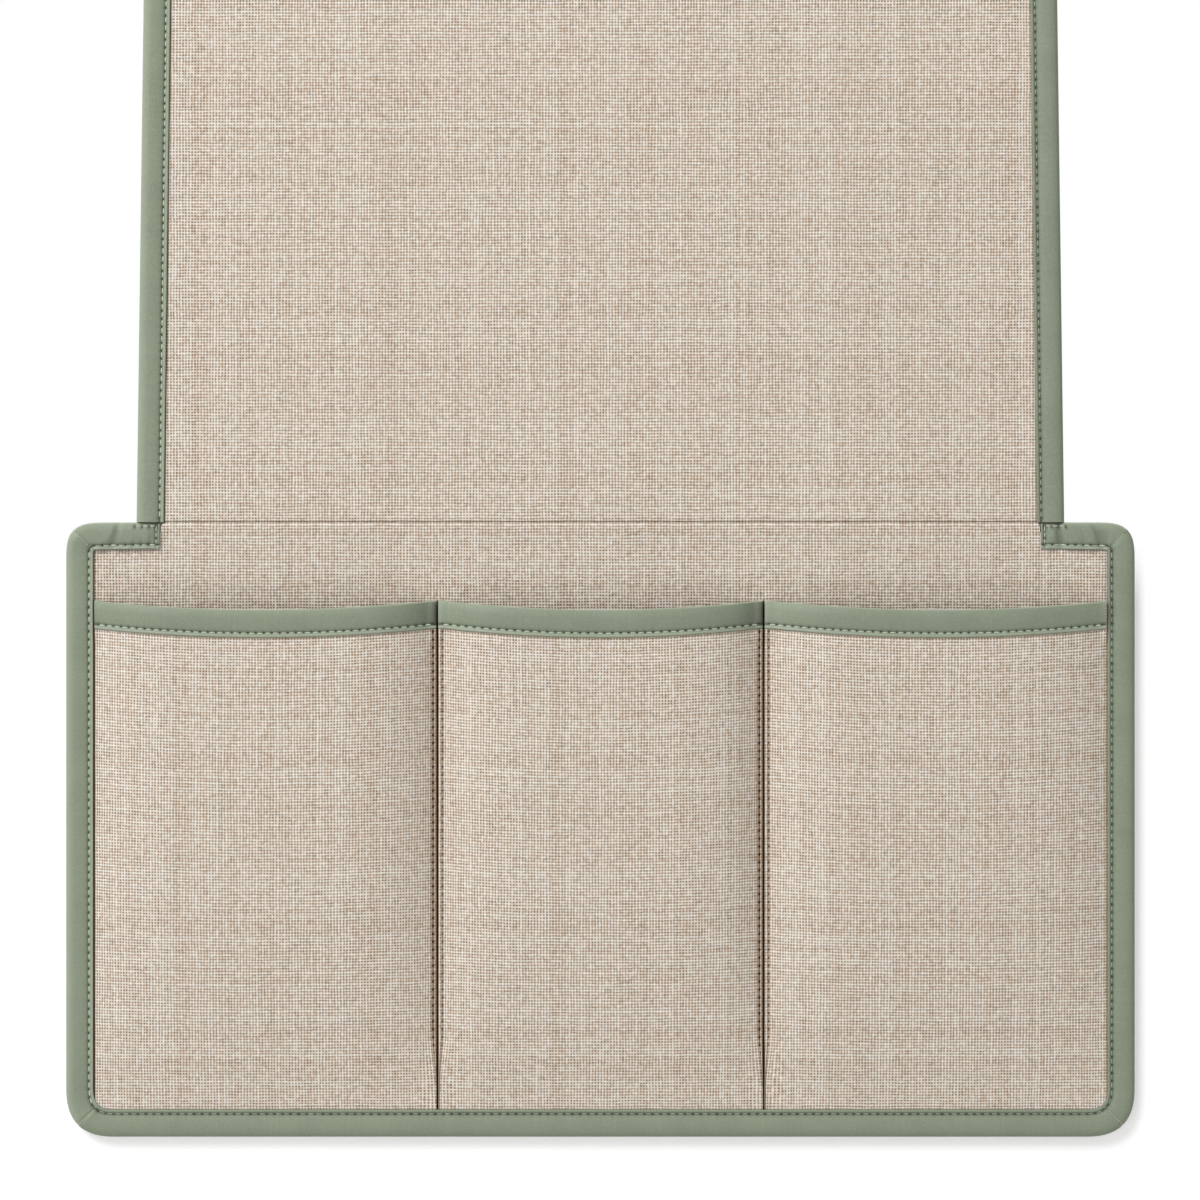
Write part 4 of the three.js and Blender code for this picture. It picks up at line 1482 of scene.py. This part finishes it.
def pocket_cloth(word, pocket):
    node = "pocket_" + word
    columns = pocket_columns(pocket)
    foot = panel_foot + binding_width - flange_reach
    stitches = round((rim_top - foot) / stitch_pitch)
    share = np.linspace(0, 1, stitches * rows_per_stitch + 1)[:, None]
    x = np.repeat(columns[None, :], len(share), 0)
    z = (pocket.rim(x) - under_rim) * (1 - share) + foot * share
    from_hem, below_rim = pocket.from_hem(x), pocket.rim(x) - z
    right_hem = (x > pocket.middle) & (from_hem < hem_width)
    closing = 1 - smooth_share(z, foot_crown + 8 * mm, foot_crown + 32 * mm)
    past_side = np.clip(np.abs(x) - side_crown, 0, None)
    past_foot = np.clip(foot_crown - z, 0, None)
    flange = np.interp(np.maximum(past_side, past_foot), flange_steps, flange_levels)
    bare = smooth_share(below_rim, rim_width - 1 * mm, rim_width + 0.5 * mm)
    bare = bare * (1 - smooth_share(past_foot, 0, 0.5 * mm))
    hem = (np.interp(from_hem, hem_steps, hem_levels) - pocket_front) * bare
    from_hole = np.abs(np.arange(len(share)) / rows_per_stitch % 1 - 0.5)[:, None]
    holes = bell(from_hole, 0.16) * bell(from_hem - seam_inset, 0.5 * mm) * (1 - closing)
    raised = pocket.stand(x, z) + pocket_waves(word, x, z, from_hem, below_rim)
    level = flange + hem - holes * bare * 0.25 * mm + raised
    level = np.where(past_side > 0, np.minimum(level, flange), level)
    back = np.minimum(pocket_back + raised, level - least_thickness)
    pull = 0.8 * closing * np.minimum(from_hem, hem_width) * (1 - past_hem(from_hem))
    drawn = x + np.where(x > pocket.middle, pull, -pull)
    outer, inner = (np.stack([drawn, -height, z], -1) for height in (level, back))
    painted_shading = pocket_painted_shading(x, z, from_hem, below_rim, right_hem, bare, holes, closing)
    spread = np.hypot(np.diff(columns), np.diff(level[len(share) // 4]))
    across = np.concatenate([[0], np.cumsum(spread)]) + pocket.low
    length = rim_top - foot
    flat = np.stack([np.repeat(across[None, :], len(share), 0),
                     np.repeat(-share * length, len(columns), 1)], -1)
    piece = sheet_between(node + "_woven", outer, inner, flat, painted_shading, linen_material, sharp=75)
    stands_for(piece, node, "linen_cloth", (float(across[-1] - across[0]), float(length)),
               held="hung", rests_on=["panel_front_cloth_woven"])
    return piece, outer, columns


print(rows_per_stitch, "rows for each stitch")

# %% [markdown]
# Dark tan stitches run in the groove of each hem. They go through the panel, so the same rows
# show on its back cloth.

# %% The three pockets and their seams
seam_foot = foot_crown + 1 * mm


def pocket_seam(word, end, place, skin, columns):
    """The dark stitches along one hem, on its front and where they come through behind."""
    column = int(np.abs(columns - place).argmin())
    last = int(np.nonzero(skin[:, column, 2] > seam_foot)[0][-1])
    front = seam_stitches(f"pocket_{word}_seam_{end}", skin, column, front_side, tan_thread,
                          0.05 * mm, 0.5 * mm, per_stitch=rows_per_stitch, length=2.3 * mm,
                          rows=(4 * rows_per_stitch, last))
    heights = np.arange(seam_foot, rim_top - rim_width, stitch_pitch)
    across = np.full(len(heights), place)
    swell = cloth_waves(across, heights, 60 + len("panel_back_cloth"))
    back = loose_stitches(f"pocket_{word}_back_seam_{end}", list(zip(across, heights)),
                          swell + 0.05 * mm, tan_thread, facing=back_side)
    return [front, back]


for word, pocket in pockets.items():
    piece, skin, columns = pocket_cloth(word, pocket)
    panel_pieces.append(piece)
    if pocket.hems[0]:
        place = pocket.low + seam_inset * hem_scales[0]
        panel_pieces += pocket_seam(word, "left", place, skin, columns)
    if pocket.hems[1]:
        place = pocket.high - seam_inset * hem_scales[1]
        panel_pieces += pocket_seam(word, "right", place, skin, columns)
print(len(panel_pieces), "pieces on the panel")

# %% [markdown]
# ## Tape on the rims
# Each rim is bound like the other edges. The tape is made straight and then laid over the
# pocket's crown: it sags with the rim and stands out with the cloth under it.

# %% Rim tapes
rim_front_level = pocket_front + 0.08 * mm
rim_back_level = pocket_back - 0.08 * mm
rim_roll = 1.35 * mm

for number, (word, pocket) in enumerate(pockets.items()):
    ends = (pocket.low + 0.15 * mm, pocket.high - 0.15 * mm)
    edges = np.array([[(x, height) for x in ends] for height in (rim_top, rim_top - rim_width)])
    # Beside a hem, a painted highlight lightens a rim tape's left end, where the crown turns to
    # the light, and painted shade darkens its right end, where it runs under the next pocket's
    # fold.
    tape, skin = folded_tape("rim_tape_" + word, edges, rim_front_level, 100 + number,
                             back_level=rim_back_level, pucker=0.07 * mm, roll=rim_roll,
                             shape=pocket.over_crown, roll_shading=top_roll_highlight,
                             end_shades=(-0.5 * pocket.hems[0], pocket.hems[1]))
    panel_pieces += [tape, *both_seams("rim_" + word, skin)]
print(len(panel_pieces), "pieces on the panel")

# %% [markdown]
# ## What moves with what
# Everything from the fold down hangs with the pocket panel, and the flap's pieces stay with
# the flap. The flap's cloths and side tapes, which reach over the fold, are baked in place and
# ride with neither.

# %% Rides
for piece in panel_pieces:
    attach(piece, "pocket_panel")
for piece in flap_pieces:
    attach(piece, "flap")
for piece in bent_pieces:
    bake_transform(piece)
triangles = sum(sum(len(face.vertices) - 2 for face in piece.data.polygons)
                for piece in panel_pieces + flap_pieces + bent_pieces)
print(triangles, "triangles in all")

# %% [markdown]
# ## The looks and the frame
# The looks may stand out a little further than the frame's solids, but not much.
